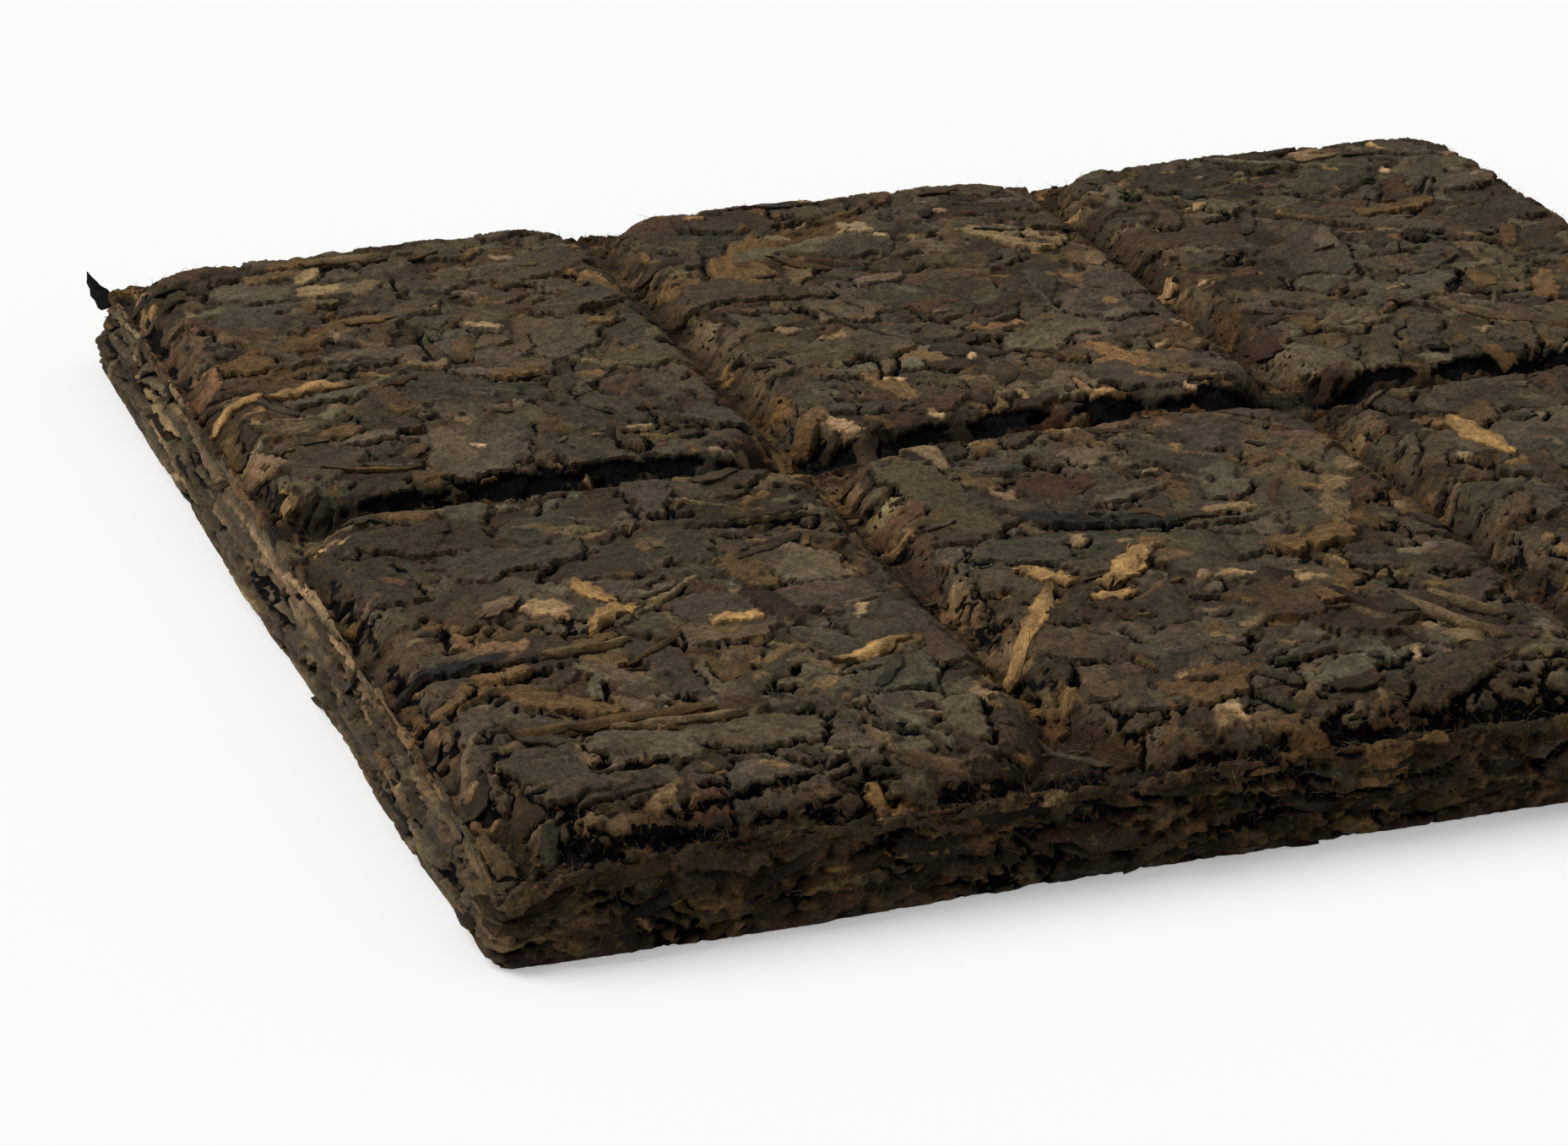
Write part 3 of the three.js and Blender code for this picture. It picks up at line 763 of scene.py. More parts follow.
def make_piece(name, points, faces, tint, grain):
    """A mesh object from points in millimetres and lists of faces, with its attributes."""
    mesh = bpy.data.meshes.new(name)
    sizes = np.concatenate([np.full(len(group), group.shape[1]) for group in faces])
    corners = np.concatenate([group.ravel() for group in faces])
    mesh.vertices.add(len(points))
    mesh.vertices.foreach_set("co", (points * MM).astype(np.float32).ravel())
    mesh.loops.add(len(corners))
    mesh.loops.foreach_set("vertex_index", corners.astype(np.int32))
    mesh.polygons.add(len(sizes))
    starts = np.concatenate([[0], np.cumsum(sizes)[:-1]])
    mesh.polygons.foreach_set("loop_start", starts.astype(np.int32))
    mesh.update(calc_edges=True)
    mesh.shade_smooth()
    mesh.set_sharp_from_angle(angle=SHARP_ANGLE)
    colour = mesh.color_attributes.new("tint", "FLOAT_COLOR", "POINT")
    rgba = np.ones((len(points), 4), np.float32)
    rgba[:, : tint.shape[1]] = np.clip(tint, 0, 1)
    colour.data.foreach_set("color", rgba.ravel())
    along = mesh.attributes.new("grain", "FLOAT_VECTOR", "POINT")
    along.data.foreach_set("vector", grain.astype(np.float32).ravel())
    if mesh.validate():
        raise RuntimeError(f"{name} has faulty faces")
    return add(name, mesh)


def add(name, data):
    """A new object in the scene."""
    made = bpy.data.objects.new(name, data)
    bpy.context.collection.objects.link(made)
    return made


def dress(piece, material):
    """Gives a finished piece its material and its body, and hides the solid it stands for."""
    if material.name not in [m.name for m in piece.data.materials if m]:
        piece.data.materials.append(material)
    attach(piece, BODY)
    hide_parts(NODE)
    return piece


class Palette:
    """Draws a leaf's colour, by shares that differ from face to face."""

    def __init__(self, colours, shares, strength=1.0, spread=0.2):
        self.shades = np.array([getattr(colours, name) for name in shares])
        weights = np.array(list(shares.values()), float)
        self.weights = weights / weights.sum()
        self.strength, self.spread = strength, spread

    def draw(self, rng):
        shade = self.shades[rng.choice(len(self.shades), p=self.weights)]
        other = self.shades[rng.choice(len(self.shades), p=self.weights)]
        mixed = shade + (other - shade) * rng.uniform(0, 0.35)
        warmth = np.array([1.0, 1 + rng.normal(0, 0.025), 1 + rng.normal(0, 0.04)])
        return mixed * warmth * self.strength * math.exp(rng.normal(0, self.spread))


PLATE_SHARES = {"taupe": 0.55, "umber": 0.22, "olive": 0.14, "russet": 0.05, "ochre": 0.04}
TOP_SHARES = {"taupe": 0.4, "umber": 0.24, "olive": 0.11, "russet": 0.08, "ochre": 0.12, "tan": 0.05}
CHIP_SHARES = {"umber": 0.3, "taupe": 0.26, "olive": 0.1, "russet": 0.1, "ochre": 0.17, "tan": 0.11}
WALL_SHARES = {"umber": 0.5, "taupe": 0.1, "olive": 0.04, "russet": 0.14, "ochre": 0.22}

# Leaves that stand out by their colour: kind, colour, middle x and y, length, breadth and
# heading in degrees, bend, and how much prouder than the rest they lie.
SHOWN_LEAVES = (
    ("bud", "gold", -46.6, 21.2, 6.4, 1.54, 6, 0.02, 0.3),
    ("bud", "gold", -51.6, 20.4, 4.6, 1.12, 24, 0.06, 0.2),
    ("bud", "ochre", -53.2, 15.0, 5.6, 1.23, -88, 0.08, 0.1),
    ("bud", "gold", -38.7, -19.6, 4.4, 1.44, -68, 0.10, 0.3),
    ("bud", "gold", -38.8, -23.4, 5.4, 1.74, 38, -0.12, 0.3),
    ("flake", "gold", -31.4, -25.5, 3.4, 1.9, -6, 0.0, 0.25),
    ("bud", "gold", -25.4, -33.6, 5.8, 1.34, 22, 0.06, 0.3),
    ("flake", "ochre", -22.8, -32.8, 3.0, 1.4, 30, 0.0, 0.2),
    ("bud", "gold", -11.4, -26.3, 4.2, 1.54, 132, 0.05, 0.35),
    ("bud", "gold", -15.2, -33.2, 13.2, 1.44, -126, -0.06, 0.3),
    ("bud", "gold", -6.0, -26.6, 7.0, 2.05, 53, 0.04, 0.35),
    ("bud", "gold", -8.8, -30.6, 3.6, 1.34, 2, 0.0, 0.3),
    ("flake", "tan", -17.4, -25.3, 4.6, 1.6, 57, 0.0, 0.2),
    ("flake", "ochre", -17.3, -43.4, 5.6, 1.6, 58, 0.0, 0.15),
    ("flake", "tan", 4.2, -18.9, 4.0, 1.8, 4, 0.0, 0.2),
    ("plate", "ochre", 7.3, -25.7, 7.2, 3.0, 8, 0.0, 0.1),
    ("bud", "gold", 25.2, -12.4, 8.0, 2.15, -84, 0.04, 0.3),
    ("flake", "ochre", 24.2, -8.8, 3.6, 2.0, -60, 0.0, 0.25),
    ("flake", "tan", -37.4, 23.9, 3.2, 1.7, -5, 0.0, 0.15),
    ("flake", "ochre", -32.1, 20.2, 4.0, 2.0, 3, 0.0, 0.15),
    ("flake", "ochre", -23.2, 28.5, 2.8, 1.5, 3, 0.0, 0.15),
    ("bud", "ochre", -18.4, 5.2, 9.0, 1.34, -96, 0.04, 0.2),
    ("flake", "ochre", -16.2, 4.8, 6.4, 2.0, 52, 0.0, 0.2),
    ("plate", "ochre", -50.0, -31.6, 6.0, 2.6, 44, 0.08, 0.3),
    ("flake", "ochre", -47.0, -29.6, 4.4, 1.7, 20, 0.08, 0.3),
    ("strip", "tan", -41.4, -27.6, 5.6, 0.9, 3, 0.06, 0.25),
    ("strip", "ochre", -43.2, -38.6, 12.6, 1.3, 0, 0.03, 0.25),
    ("strip", "tan", -39.6, -39.8, 8.0, 0.9, -4, 0.05, 0.2),
    ("plate", "ochre", -45.2, -34.6, 9.0, 2.4, -46, 0.05, 0.1),
    ("flake", "ochre", -5.0, -51.3, 4.0, 1.4, 15, 0.0, 0.15),
    ("strip", "tan", 9.7, -40.2, 8.6, 1.1, -65, 0.04, 0.2),
    ("strip", "tan", 11.6, -38.4, 6.0, 0.9, -58, 0.04, 0.2),
    ("plate", "ochre", -39.0, 47.4, 9.0, 2.2, -8, 0.02, 0.1),
    ("strip", "tan", -37.6, 46.6, 6.4, 1.0, -6, 0.02, 0.2),
    ("plate", "ochre", 41.0, 33.4, 7.0, 2.6, 11, 0.04, 0.1),
    ("strip", "tan", 36.2, 9.2, 8.0, 1.3, -57, 0.03, 0.2),
    ("plate", "tan", 10.1, 36.2, 8.0, 2.2, -64, 0.02, 0.05),
    ("flake", "russet", 21.4, 2.4, 4.0, 1.6, 31, 0.0, 0.2),
    ("plate", "ink", -4.6, -18.3, 11.0, 2.0, -22, 0.02, 0.2),
    ("plate", "ink", -49.6, -27.6, 8.0, 1.8, 11, 0.12, 0.2),
)


# Crevices in the top, sunk in and painted dark as shade: middle x and y, length, breadth and heading
# in degrees, and depth.
CREVICES = (
    (-45.5, -28.4, 8.2, 0.9, 4, 1.0),
    (-51.2, -33.5, 6.0, 0.7, 48, 0.9),
    (-45.5, 1.5, 9.0, 1.1, 2, 1.0),
    (-36.4, 1.6, 8.2, 1.4, 0, 1.1),
    (-28.6, 1.7, 9.6, 1.7, -3, 1.2),
    (-22.0, 1.4, 4.0, 1.0, 3, 1.0),
    (-15.4, 1.5, 4.4, 1.2, 2, 1.0),
    (-9.2, 1.5, 4.6, 1.0, 6, 1.0),
    (-2.8, 1.7, 6.6, 1.5, 4, 1.2),
    (4.6, 1.7, 5.8, 1.5, -4, 1.2),
    (12.4, 1.7, 10.2, 1.6, 2, 1.2),
    (24.0, 1.4, 8.0, 1.2, 3, 1.0),
    (32.0, 1.5, 7.0, 1.3, 0, 1.1),
    (40.0, 1.5, 8.5, 1.3, 4, 1.0),
    (-53.2, 38.0, 13.0, 0.9, 88, 0.9),
    (-49.5, 45.6, 6.4, 1.0, 34, 0.8),
    (-46.0, -48.0, 7.0, 0.8, 12, 1.0),
    (-38.0, -49.0, 9.0, 0.9, 8, 0.9),
    (-44.0, -44.5, 6.0, 0.7, 6, 0.9),
    (-30.8, -46.5, 4.6, 0.8, -14, 0.9),
    (-41.0, -23.5, 7.5, 0.5, 8, 0.8),
    (-27.5, -36.0, 7.0, 0.6, 2, 0.9),
    (-12.0, -31.0, 7.6, 0.5, -36, 0.8),
    (-5.4, -35.8, 6.4, 0.6, 14, 0.9),
    (0.6, -20.5, 8.6, 0.4, 12, 0.8),
    (8.8, -33.0, 5.0, 0.7, 4, 0.9),
    (13.6, -47.2, 8.0, 0.8, -6, 1.0),
    (-35.6, -50.4, 8.0, 0.4, 6, 0.9),
    (-25.0, -51.0, 5.0, 0.3, 4, 0.8),
    (-50.0, -50.2, 4.0, 0.4, 30, 0.9),
    (-11.0, -50.6, 6.0, 0.4, -2, 0.8),
    (-1.0, -50.0, 6.0, 0.3, 3, 0.8),
    (10.0, -50.8, 5.0, 0.3, 0, 0.8),
    (24.0, -50.4, 6.0, 0.3, 3, 0.8),
    (38.0, -50.6, 6.0, 0.3, -3, 0.8),
    (-18.0, -7.0, 12.0, 0.7, 88, 0.5),
    (18.0, -9.0, 14.0, 0.7, 92, 0.5),
)

# The same on the front wall: middle x, height, length, breadth and heading in degrees, and depth.
WALL_CREVICES = (
    (-51.2, 4.6, 4.6, 1.0, 18, 1.0),
    (-37.6, 2.0, 4.0, 0.9, 30, 0.9),
    (-39.5, 1.2, 6.5, 0.7, 6, 0.9),
    (-26.0, 1.0, 7.0, 0.6, -4, 0.9),
    (-14.5, 1.6, 6.5, 0.6, 8, 0.9),
    (-7.6, 2.4, 7.8, 1.1, 2, 1.0),
    (-1.0, 2.6, 4.6, 0.7, 24, 0.9),
    (-9.0, 5.2, 7.4, 0.5, -4, 0.9),
    (5.0, 1.4, 7.0, 0.8, 8, 0.9),
    (16.0, 2.2, 8.0, 0.8, -6, 0.9),
    (29.0, 1.6, 6.0, 0.8, 5, 0.9),
    (41.0, 2.6, 7.0, 0.8, -5, 0.9),
)


def lay_evenly(rng, count, low, high):
    """Places spread evenly over a rectangle, with a random shift each."""
    across = max(int(math.sqrt(count * (high[0] - low[0]) / (high[1] - low[1]))), 1)
    down = max(int(round(count / across)), 1)
    i, j = np.meshgrid(np.arange(across), np.arange(down), indexing="ij")
    a = low[0] + (i.ravel() + rng.uniform(0, 1, i.size)) * (high[0] - low[0]) / across
    b = low[1] + (j.ravel() + rng.uniform(0, 1, j.size)) * (high[1] - low[1]) / down
    return list(zip(a, b))


FRONTWARDS = -math.pi / 2  # a leaf that leans this way stands proud towards the front
SHOWN_TINT = (0.85, 1.15)  # how much the leaves that stand out differ in brightness
RAISED = 0.5  # how much of its rise a leaf that stands out has
MATS = {}  # the settled mats, by face, for what lies loose on them
BARE_PLACES = []  # points and faces of the walls, grooves and slopes, for crumbs and fibres
BARE_STRIDE = 3  # only every third point of them


def keep_bare(points, bare):
    """Keeps a coarser grid of a face's crumbly places."""
    points, bare = points[::BARE_STRIDE, ::BARE_STRIDE], bare[::BARE_STRIDE, ::BARE_STRIDE]
    grid = np.arange(bare.size).reshape(bare.shape)
    chosen = quads_of(grid)[bare[:-1, :-1].ravel()]
    used, index = np.unique(chosen, return_inverse=True)
    BARE_PLACES.append((points.reshape(-1, 3)[used], index.reshape(-1, 4)))


class LeafOperator:
    """What the leaf operators share."""

    bl_options = {"REGISTER"}

    def start(self, context, salt):
        self.form = Form(context.scene.tea_brick_form)
        self.counts = context.scene.tea_brick_leaf
        self.colours = context.scene.tea_brick_colours
        self.rng = np.random.default_rng(self.counts.seed + salt)

    def colour(self, name):
        return np.array(getattr(self.colours, name))

    def shuffled(self, numbers, low, high):
        """Places for so many leaves of each kind, in random order."""
        jobs = []
        for kind, number in numbers.items():
            jobs += [(kind, place) for place in lay_evenly(self.rng, number, low, high)]
        return [jobs[k] for k in self.rng.permutation(len(jobs))]


def level(points, height):
    """Points moved up or down to one height."""
    return np.concatenate([points[:, :2], np.full((len(points), 1), height)], 1)


def closed_block(face, rings_under, shown, grain, flip=False):
    """The points, faces, tints and grain of a closed block, from the grid of its shown face.

    rings_under turns the face's border into the rings behind it, and the last ring is filled.
    """
    grid = np.arange(face.shape[0] * face.shape[1]).reshape(face.shape[:2])
    rim = rim_of(grid)
    face = face.reshape(-1, 3)
    rings = rings_under(face[rim])
    points = np.concatenate([face, *rings, rings[-1].mean(0, keepdims=True)])
    faces = [quads_of(grid)]
    above = rim
    for k in range(len(rings)):
        below = len(face) + k * len(rim) + np.arange(len(rim))
        faces.append(np.stack([below, np.roll(below, -1), np.roll(above, -1), above], 1))
        above = below
    faces.append(np.stack([np.roll(above, -1), above, np.full(len(above), len(points) - 1)], 1))
    if flip:
        faces = [group[:, ::-1] for group in faces]
    parts = []
    for values in (shown, grain):
        values = values.reshape(-1, values.shape[-1])
        parts.append(np.concatenate([values, np.tile(values[rim], (len(rings), 1)), values[:1]]))
    return points, faces, *parts


class TEABRICK_OT_pads(LeafOperator, bpy.types.Operator):
    """Mats the leaf of the top face, and makes the pads with half of each groove"""

    bl_idname = "teabrick.pads"
    bl_label = "Pads"

    CELL = 1 / 7  # a whole number of cells to each pad and to the margin
    MARGIN = 3.0
    OVER_RIM = 5
    SKIRT_DROP = 0.7
    SKIRT_IN = 0.968
    BASE = 1.2
    PROUD = 0.25
    DEEP = 0.25
    CRACK_DEPTH = 0.48
    LIGHT = (1.8, 1.66)  # how bright the leaf is, from the front row to the back one: partly its own colour, partly painted light
    SEAM_REACH = 0.45
    BUD_SHADOW_BREADTH = 0.5  # breadth of the painted shadow in front of a bud, opened as a dark crevice
    TOWARDS_FRONT = 0.55  # share of the leaves that stand proud towards the front
    SMOOTH_RIM = 1.8  # breadth of the smooth ledge along the left wall
    PLATE_SHARE = 0.7  # broad leaf lies above this share of the pads' height
    GROOVE_SHARE = 0.6  # and leaf below this share lies along the groove
    # Painted shade in the grooves: how bright their floors are next to the pads' tops.
    GROOVE_LIGHT = 0.6
    GROOVE_WARMTH = 0.14
    CRACK_FADE = (1.25, 0.5)  # how strong the cracks are, from the front edge to the back one
    # Painted shade on the foot of the back row's front, which faces away from the light: its start,
    # its share of the pads' height, its light.
    BEHIND = (0.2, 0.85, 0.5)
    SLOPE_SHADE = 0.3
    SEAM_STRENGTHS = (0.6, 1.0)  # between the columns, and between the rows
    SEAM_BESIDE = 0.5  # how far up the shoulder a seam lies
    BARE_SHARE = 0.9  # below this share of the pads' height things are strewn
    SHADED_FOOT = (0.4, 2.8)  # but nothing is on the back row's front foot, which is painted dark as shade
    ROW_NAMES = ("front", "back")
    COLUMN_NAMES = ("left", "middle", "right")

    def execute(self, context):
        self.start(context, 1)
        rng, form, counts = self.rng, self.form, self.counts
        half = np.array([form.columns * form.column_pitch, form.rows * form.row_pitch]) / 2
        mat = Mat(rng, -half - self.MARGIN, half + self.MARGIN, self.colours.umber, self.CELL)
        plates = Palette(self.colours, PLATE_SHARES, spread=0.25)
        leaves = Palette(self.colours, TOP_SHARES, spread=0.33)
        bits = Palette(self.colours, CHIP_SHARES, spread=0.46)
        reach = half + self.MARGIN
        plates_first, chips_first = counts.top_plates // 2, counts.top_chips // 3
        first = self.shuffled({"plate": plates_first, "chip": chips_first}, -reach, reach)
        rest = self.shuffled({
            "plate": counts.top_plates - plates_first,
            "flake": counts.top_flakes,
            "chip": counts.top_chips - chips_first,
            "strip": counts.top_strips,
        }, -reach, reach)
        for kind, (x, y) in first + rest:
            share = form.pad_share(np.array(x), np.array(y))
            if kind == "plate" and share < self.PLATE_SHARE:
                kind = "flake"
            if kind == "chip" and x < self.SMOOTH_RIM - form.half_length:
                kind = "strip"
            palette = plates if kind == "plate" else leaves
            if kind == "chip" or share < self.GROOVE_SHARE:
                palette = bits
            lean = FRONTWARDS + rng.normal(0, 0.9) if rng.uniform() < self.TOWARDS_FRONT else None
            mat.press(rng, kind, x, y, self.heading(form, x, y, share), palette.draw(rng), lean=lean)
        for kind, colour, x, y, length, breadth, degrees, bend, rise in SHOWN_LEAVES:
            if kind in LEAVES:
                shape = {"length": length, "breadth": breadth, "bend": bend, "rise": rise * RAISED}
                tint = self.colour(colour) * rng.uniform(*SHOWN_TINT)
                heading = math.radians(degrees)
                mat.press(rng, kind, x, y, heading, tint, lean=FRONTWARDS, shown=True, **shape)
            else:
                # A painted shadow in front of each bud, as a dark crevice.
                beside = y - 0.45 * breadth
                mat.hollow(rng, x, beside, 0.9 * length, self.BUD_SHADOW_BREADTH, math.radians(degrees), 0.9)
        for x, y, length, breadth, degrees, depth in CREVICES:
            mat.hollow(rng, x, y, length, breadth, math.radians(degrees), depth)
        a, b = mat.places()
        share = form.pad_share(a, b)
        self.open_seams(mat, a, b)
        mat.crack = mat.crack * np.interp(b, (-half[1], half[1]), self.CRACK_FADE)
        # Painted light and shade: darker in the grooves, changing from the front row to the back one,
        # darker on the back row's front foot and on the front slope. The grooves' slopes are also made
        # warmer.
        raised = self.GROOVE_LIGHT + (1 - self.GROOVE_LIGHT) * ease(share * 1.3)
        light = np.interp(b, (-half[1], half[1]), self.LIGHT) * raised
        start, below, shade = self.BEHIND
        light = light * np.where((b > start) & (b < form.shoulder) & (share < below), shade, 1.0)
        slope = ease(1 - (b + half[1]) / form.front_slope / form.shoulder)
        light = light * (1 - self.SLOPE_SHADE * slope)
        warm = np.array([self.GROOVE_WARMTH, 0.0, -self.GROOVE_WARMTH])
        warmth = 1 + warm * (1 - share[..., None])
        mat.tint *= light[..., None] * warmth
        mat.settle(rng, self.PROUD, self.DEEP, self.CRACK_DEPTH)
        MATS["top"] = mat
        for column in range(form.columns):
            for row in range(form.rows):
                self.pad(mat, column, row)
        return {"FINISHED"}

    def open_seams(self, mat, a, b):
        """Opens patchy cracks along the foot of the pads, most of all at their front, sunk in and
        painted dark as shade.
        """
        form = self.form
        wobble = 0.5 * mat.tear
        patchy = np.clip(0.45 + 1.2 * mat.patches, 0, 1)
        beside = form.floor + self.SEAM_BESIDE
        for place, pitch, count, strength in (
            (a, form.column_pitch, form.columns, self.SEAM_STRENGTHS[0]),
            (b, form.row_pitch, form.rows, self.SEAM_STRENGTHS[1]),
        ):
            for line in range(count + 1):
                offset = place - (line - count / 2) * pitch - wobble
                side = beside if line < count else -beside
                seam = np.exp(-(((offset - side) / self.SEAM_REACH) ** 2)) * patchy * strength
                mat.crack = np.maximum(mat.crack, seam)

    def heading(self, form, x, y, share):
        """Any way on a pad, but along the groove in it."""
        if share > self.GROOVE_SHARE:
            return self.rng.uniform(0, math.pi)
        beside_column = form.groove_distance(np.array(x), form.column_pitch, form.columns)
        beside_row = form.groove_distance(np.array(y), form.row_pitch, form.rows)
        return (math.pi / 2 if beside_column < beside_row else 0.0) + self.rng.normal(0, 0.45)

    def pad(self, mat, column, row):
        form = self.form
        window = []
        for k, (index, count, pitch) in enumerate(
            ((column, form.columns, form.column_pitch), (row, form.rows, form.row_pitch))
        ):
            start = (index - count / 2) * pitch
            ends = (start, start + pitch)
            first, last = (round((end - mat.low[k]) / mat.step[k]) for end in ends)
            first -= self.OVER_RIM if index == 0 else 0
            last += self.OVER_RIM if index == count - 1 else 0
            window.append(slice(first, last + 1))
        window = tuple(window)
        a, b = (grid[window] for grid in mat.places())
        face = form.on_top(a, b, mat.relief[window])
        shaded_foot = (b > self.SHADED_FOOT[0]) & (b < self.SHADED_FOOT[1])
        keep_bare(face, (form.pad_share(a, b) < self.BARE_SHARE) & ~shaded_foot)

        def skirt(border):
            lower = border * (self.SKIRT_IN, self.SKIRT_IN, 1) - (0, 0, self.SKIRT_DROP)
            return [lower, level(lower, self.BASE)]

        parts = closed_block(face, skirt, mat.shown[window], mat.grain[window])
        name = f"pad_{self.ROW_NAMES[row % 2]}_{self.COLUMN_NAMES[column % 3]}"
        dress(make_piece(name, *parts), leaf_material())


class TEABRICK_OT_walls(LeafOperator, bpy.types.Operator):
    """Mats the crumbling layers of leaf of the four walls"""

    bl_idname = "teabrick.walls"
    bl_label = "Walls"

    # How bright the leaf of each wall is, partly its own colour and partly painted light and shade for
    # the way each wall faces the light: front, right, back and left.
    WALL_LIGHT = (1.16, 1.25, 1.2, 1.5)
    STREAK_SHARES = {"taupe": 0.6, "umber": 0.18, "ochre": 0.04, "tan": 0.18}
    FELT = 0.24
    # Where the foot bulges: how far along the outline, how far round it, and how far out.
    BULGES = (
        (13.4, 15.0, 0.6),
        (-17.0, 13.0, 0.8),
        (-44.0, 22.0, 0.85),
        (-72.0, 20.0, 0.9),
        (-98.0, 18.0, 1.0),
    )
    SWINGS = {"chip": 0.9, "streak": 0.07, "layer": 0.25, "strip": 0.25}  # off the level
    STREAKS = 0.8  # share of the chips on the streaked wall that are streaks as well
    STREAKED_FELT = 0.25  # how rough that wall is next to the others
    STREAKED_HOLLOWS = 0.3
    FOOT = 1.3  # height of the ragged foot
    FOOT_SINK = 0.3
    FOOT_SHADE = 0.35
    LAP = 0.3  # how far past the wall's edges the leaves' middles may lie
    HOLLOW_LENGTHS = (1.5, 6.0)
    HOLLOW_BREADTHS = (0.4, 0.9)
    HOLLOW_MARGINS = (0.6, 1.2)  # below and above them
    OVER_TOP = 0.5
    PROUD = 0.6
    DEEP = 0.5
    CRACK_DEPTH = 0.8
    INNER = 1.6
    INNER_TOP = 4.6
    INNER_FOOT = 0.12

    def execute(self, context):
        self.start(context, 2)
        rng, form, counts = self.rng, self.form, self.counts
        tall = form.wall_top + form.round * (math.pi / 2 - 1) + self.OVER_TOP
        mat = Mat(rng, (0, 0), (form.girth, tall), self.colours.umber, wrap=True)
        palette = Palette(self.colours, WALL_SHARES, spread=0.3)
        low, high = (0.0, -self.LAP), (form.girth, tall + self.LAP)
        numbers = {
            "layer": counts.wall_flakes, "chip": counts.wall_chips, "strip": counts.wall_strips
        }
        streaks = Palette(self.colours, self.STREAK_SHARES, spread=0.3)
        for kind, (s, t) in self.shuffled(numbers, low, high):
            facing = form.facing(s)
            streaked = facing == STREAKED
            if streaked and (kind != "chip" or rng.uniform() < self.STREAKS):
                kind = "streak"
            tint = (streaks if streaked else palette).draw(rng) * self.WALL_LIGHT[facing]
            lean = -math.pi / 2 + rng.normal(0, 0.7)
            shape = {"breadth": rng.uniform(0.4, 0.8)} if kind == "strip" else {}
            heading = rng.normal(0, self.SWINGS[kind])
            mat.press(rng, kind, s, t, heading, tint, lean=lean, **shape)
        # Crevices and hollows in the walls, sunk in and painted dark as shade.
        for x, height, length, breadth, degrees, depth in WALL_CREVICES:
            s = x + form.half_length - form.corner
            mat.hollow(rng, s, height, length, breadth, math.radians(degrees), depth)
        low = (0.0, self.HOLLOW_MARGINS[0])
        high = (form.girth, tall - self.HOLLOW_MARGINS[1])
        for s, t in lay_evenly(rng, counts.wall_hollows, low, high):
            length, breadth = rng.uniform(*self.HOLLOW_LENGTHS), rng.uniform(*self.HOLLOW_BREADTHS)
            if form.facing(s) != STREAKED or rng.uniform() < self.STREAKED_HOLLOWS:
                mat.hollow(rng, s, t, length, breadth, rng.normal(0, 0.35), rng.uniform(0.7, 1.1))
        a, b = mat.places()
        patches = np.clip(0.35 + smooth_noise(rng, mat.size, 18, True), 0, 1)
        foot = ease((self.FOOT - b) / self.FOOT) * patches
        mat.height = (mat.height - self.FOOT_SINK * foot) * np.interp(b, (0, 1), (0.5, 1))
        streaked = form.rim_place(a)[2] < -0.7
        felt = self.FELT * np.where(streaked, self.STREAKED_FELT, 1)
        mat.settle(rng, self.PROUD, self.DEEP, self.CRACK_DEPTH, felt)
        mat.relief = mat.relief * np.interp(b, (0, 0.9), (0.3, 1))
        for s, reach, out in self.BULGES:
            away = np.mod(a - s + form.girth / 2, form.girth) - form.girth / 2
            mat.relief += out * np.exp(-((away / reach) ** 2)) * np.interp(b, (0, 2, 5), (1, 0.8, 0))
        mat.shown[..., :3] *= (1 - self.FOOT_SHADE * foot)[..., None]
        MATS["wall"] = mat
        dress(self.band(mat, a, b), leaf_material())
        return {"FINISHED"}

    def band(self, mat, a, b):
        """The wall's face all round, closed behind."""
        outer = self.form.on_wall(a, b, mat.relief)
        rim_x, rim_y, way_x, way_y = self.form.rim_place(a[:, 0])
        inner = np.stack([rim_x - way_x * self.INNER, rim_y - way_y * self.INNER], -1)
        rows = [outer]
        for height in (self.INNER_TOP, self.INNER_FOOT):
            rows.append(np.concatenate([inner, np.full((len(inner), 1), height)], -1)[:, None, :])
        keep_bare(outer, np.ones(outer.shape[:2], bool))
        points = np.concatenate(rows, 1)
        grid = np.arange(points[..., 0].size).reshape(points.shape[:2])
        grid = np.concatenate([grid, grid[:1]], 0)
        grid = np.concatenate([grid, grid[:, :1]], 1)
        looks = []
        for values in (mat.shown, mat.grain):
            behind = np.repeat(values[:, -1:], len(rows) - 1, 1)
            looks.append(np.concatenate([values, behind], 1).reshape(-1, values.shape[-1]))
        return make_piece("wall_leaf", points.reshape(-1, 3), [quads_of(grid)], *looks)


class TEABRICK_OT_underside(LeafOperator, bpy.types.Operator):
    """Mats the leaf of the underside, pressed flush"""

    bl_idname = "teabrick.underside"
    bl_label = "Underside"

    STRIDE = 2
    INNER_TOP = 1.0
    PROUD = 0.12
    DEEP = 0.12
    CRACK_DEPTH = 0.3

    def execute(self, context):
        self.start(context, 3)
        rng, form, counts = self.rng, self.form, self.counts
        half = np.array([form.half_length, form.half_width]) - UNDERSIDE_INSET
        mat = Mat(rng, -half, half, self.colours.umber)
        palette = Palette(self.colours, TOP_SHARES, strength=0.85)
        numbers = {"plate": counts.under_plates, "flake": counts.under_flakes}
        for kind, (x, y) in self.shuffled(numbers, -half, half):
            mat.press(rng, kind, x, y, rng.uniform(0, math.pi), palette.draw(rng))
        mat.settle(rng, self.PROUD, self.DEEP, self.CRACK_DEPTH)
        k = self.STRIDE
        a, b = (grid[::k, ::k] for grid in mat.places())
        face = form.on_underside(a, b, mat.relief[::k, ::k])

        def inside(border):
            return [level(border, self.INNER_TOP)]

        parts = closed_block(face, inside, mat.shown[::k, ::k], mat.grain[::k, ::k], flip=True)
        dress(make_piece("underside_leaf", *parts), leaf_material())
        return {"FINISHED"}


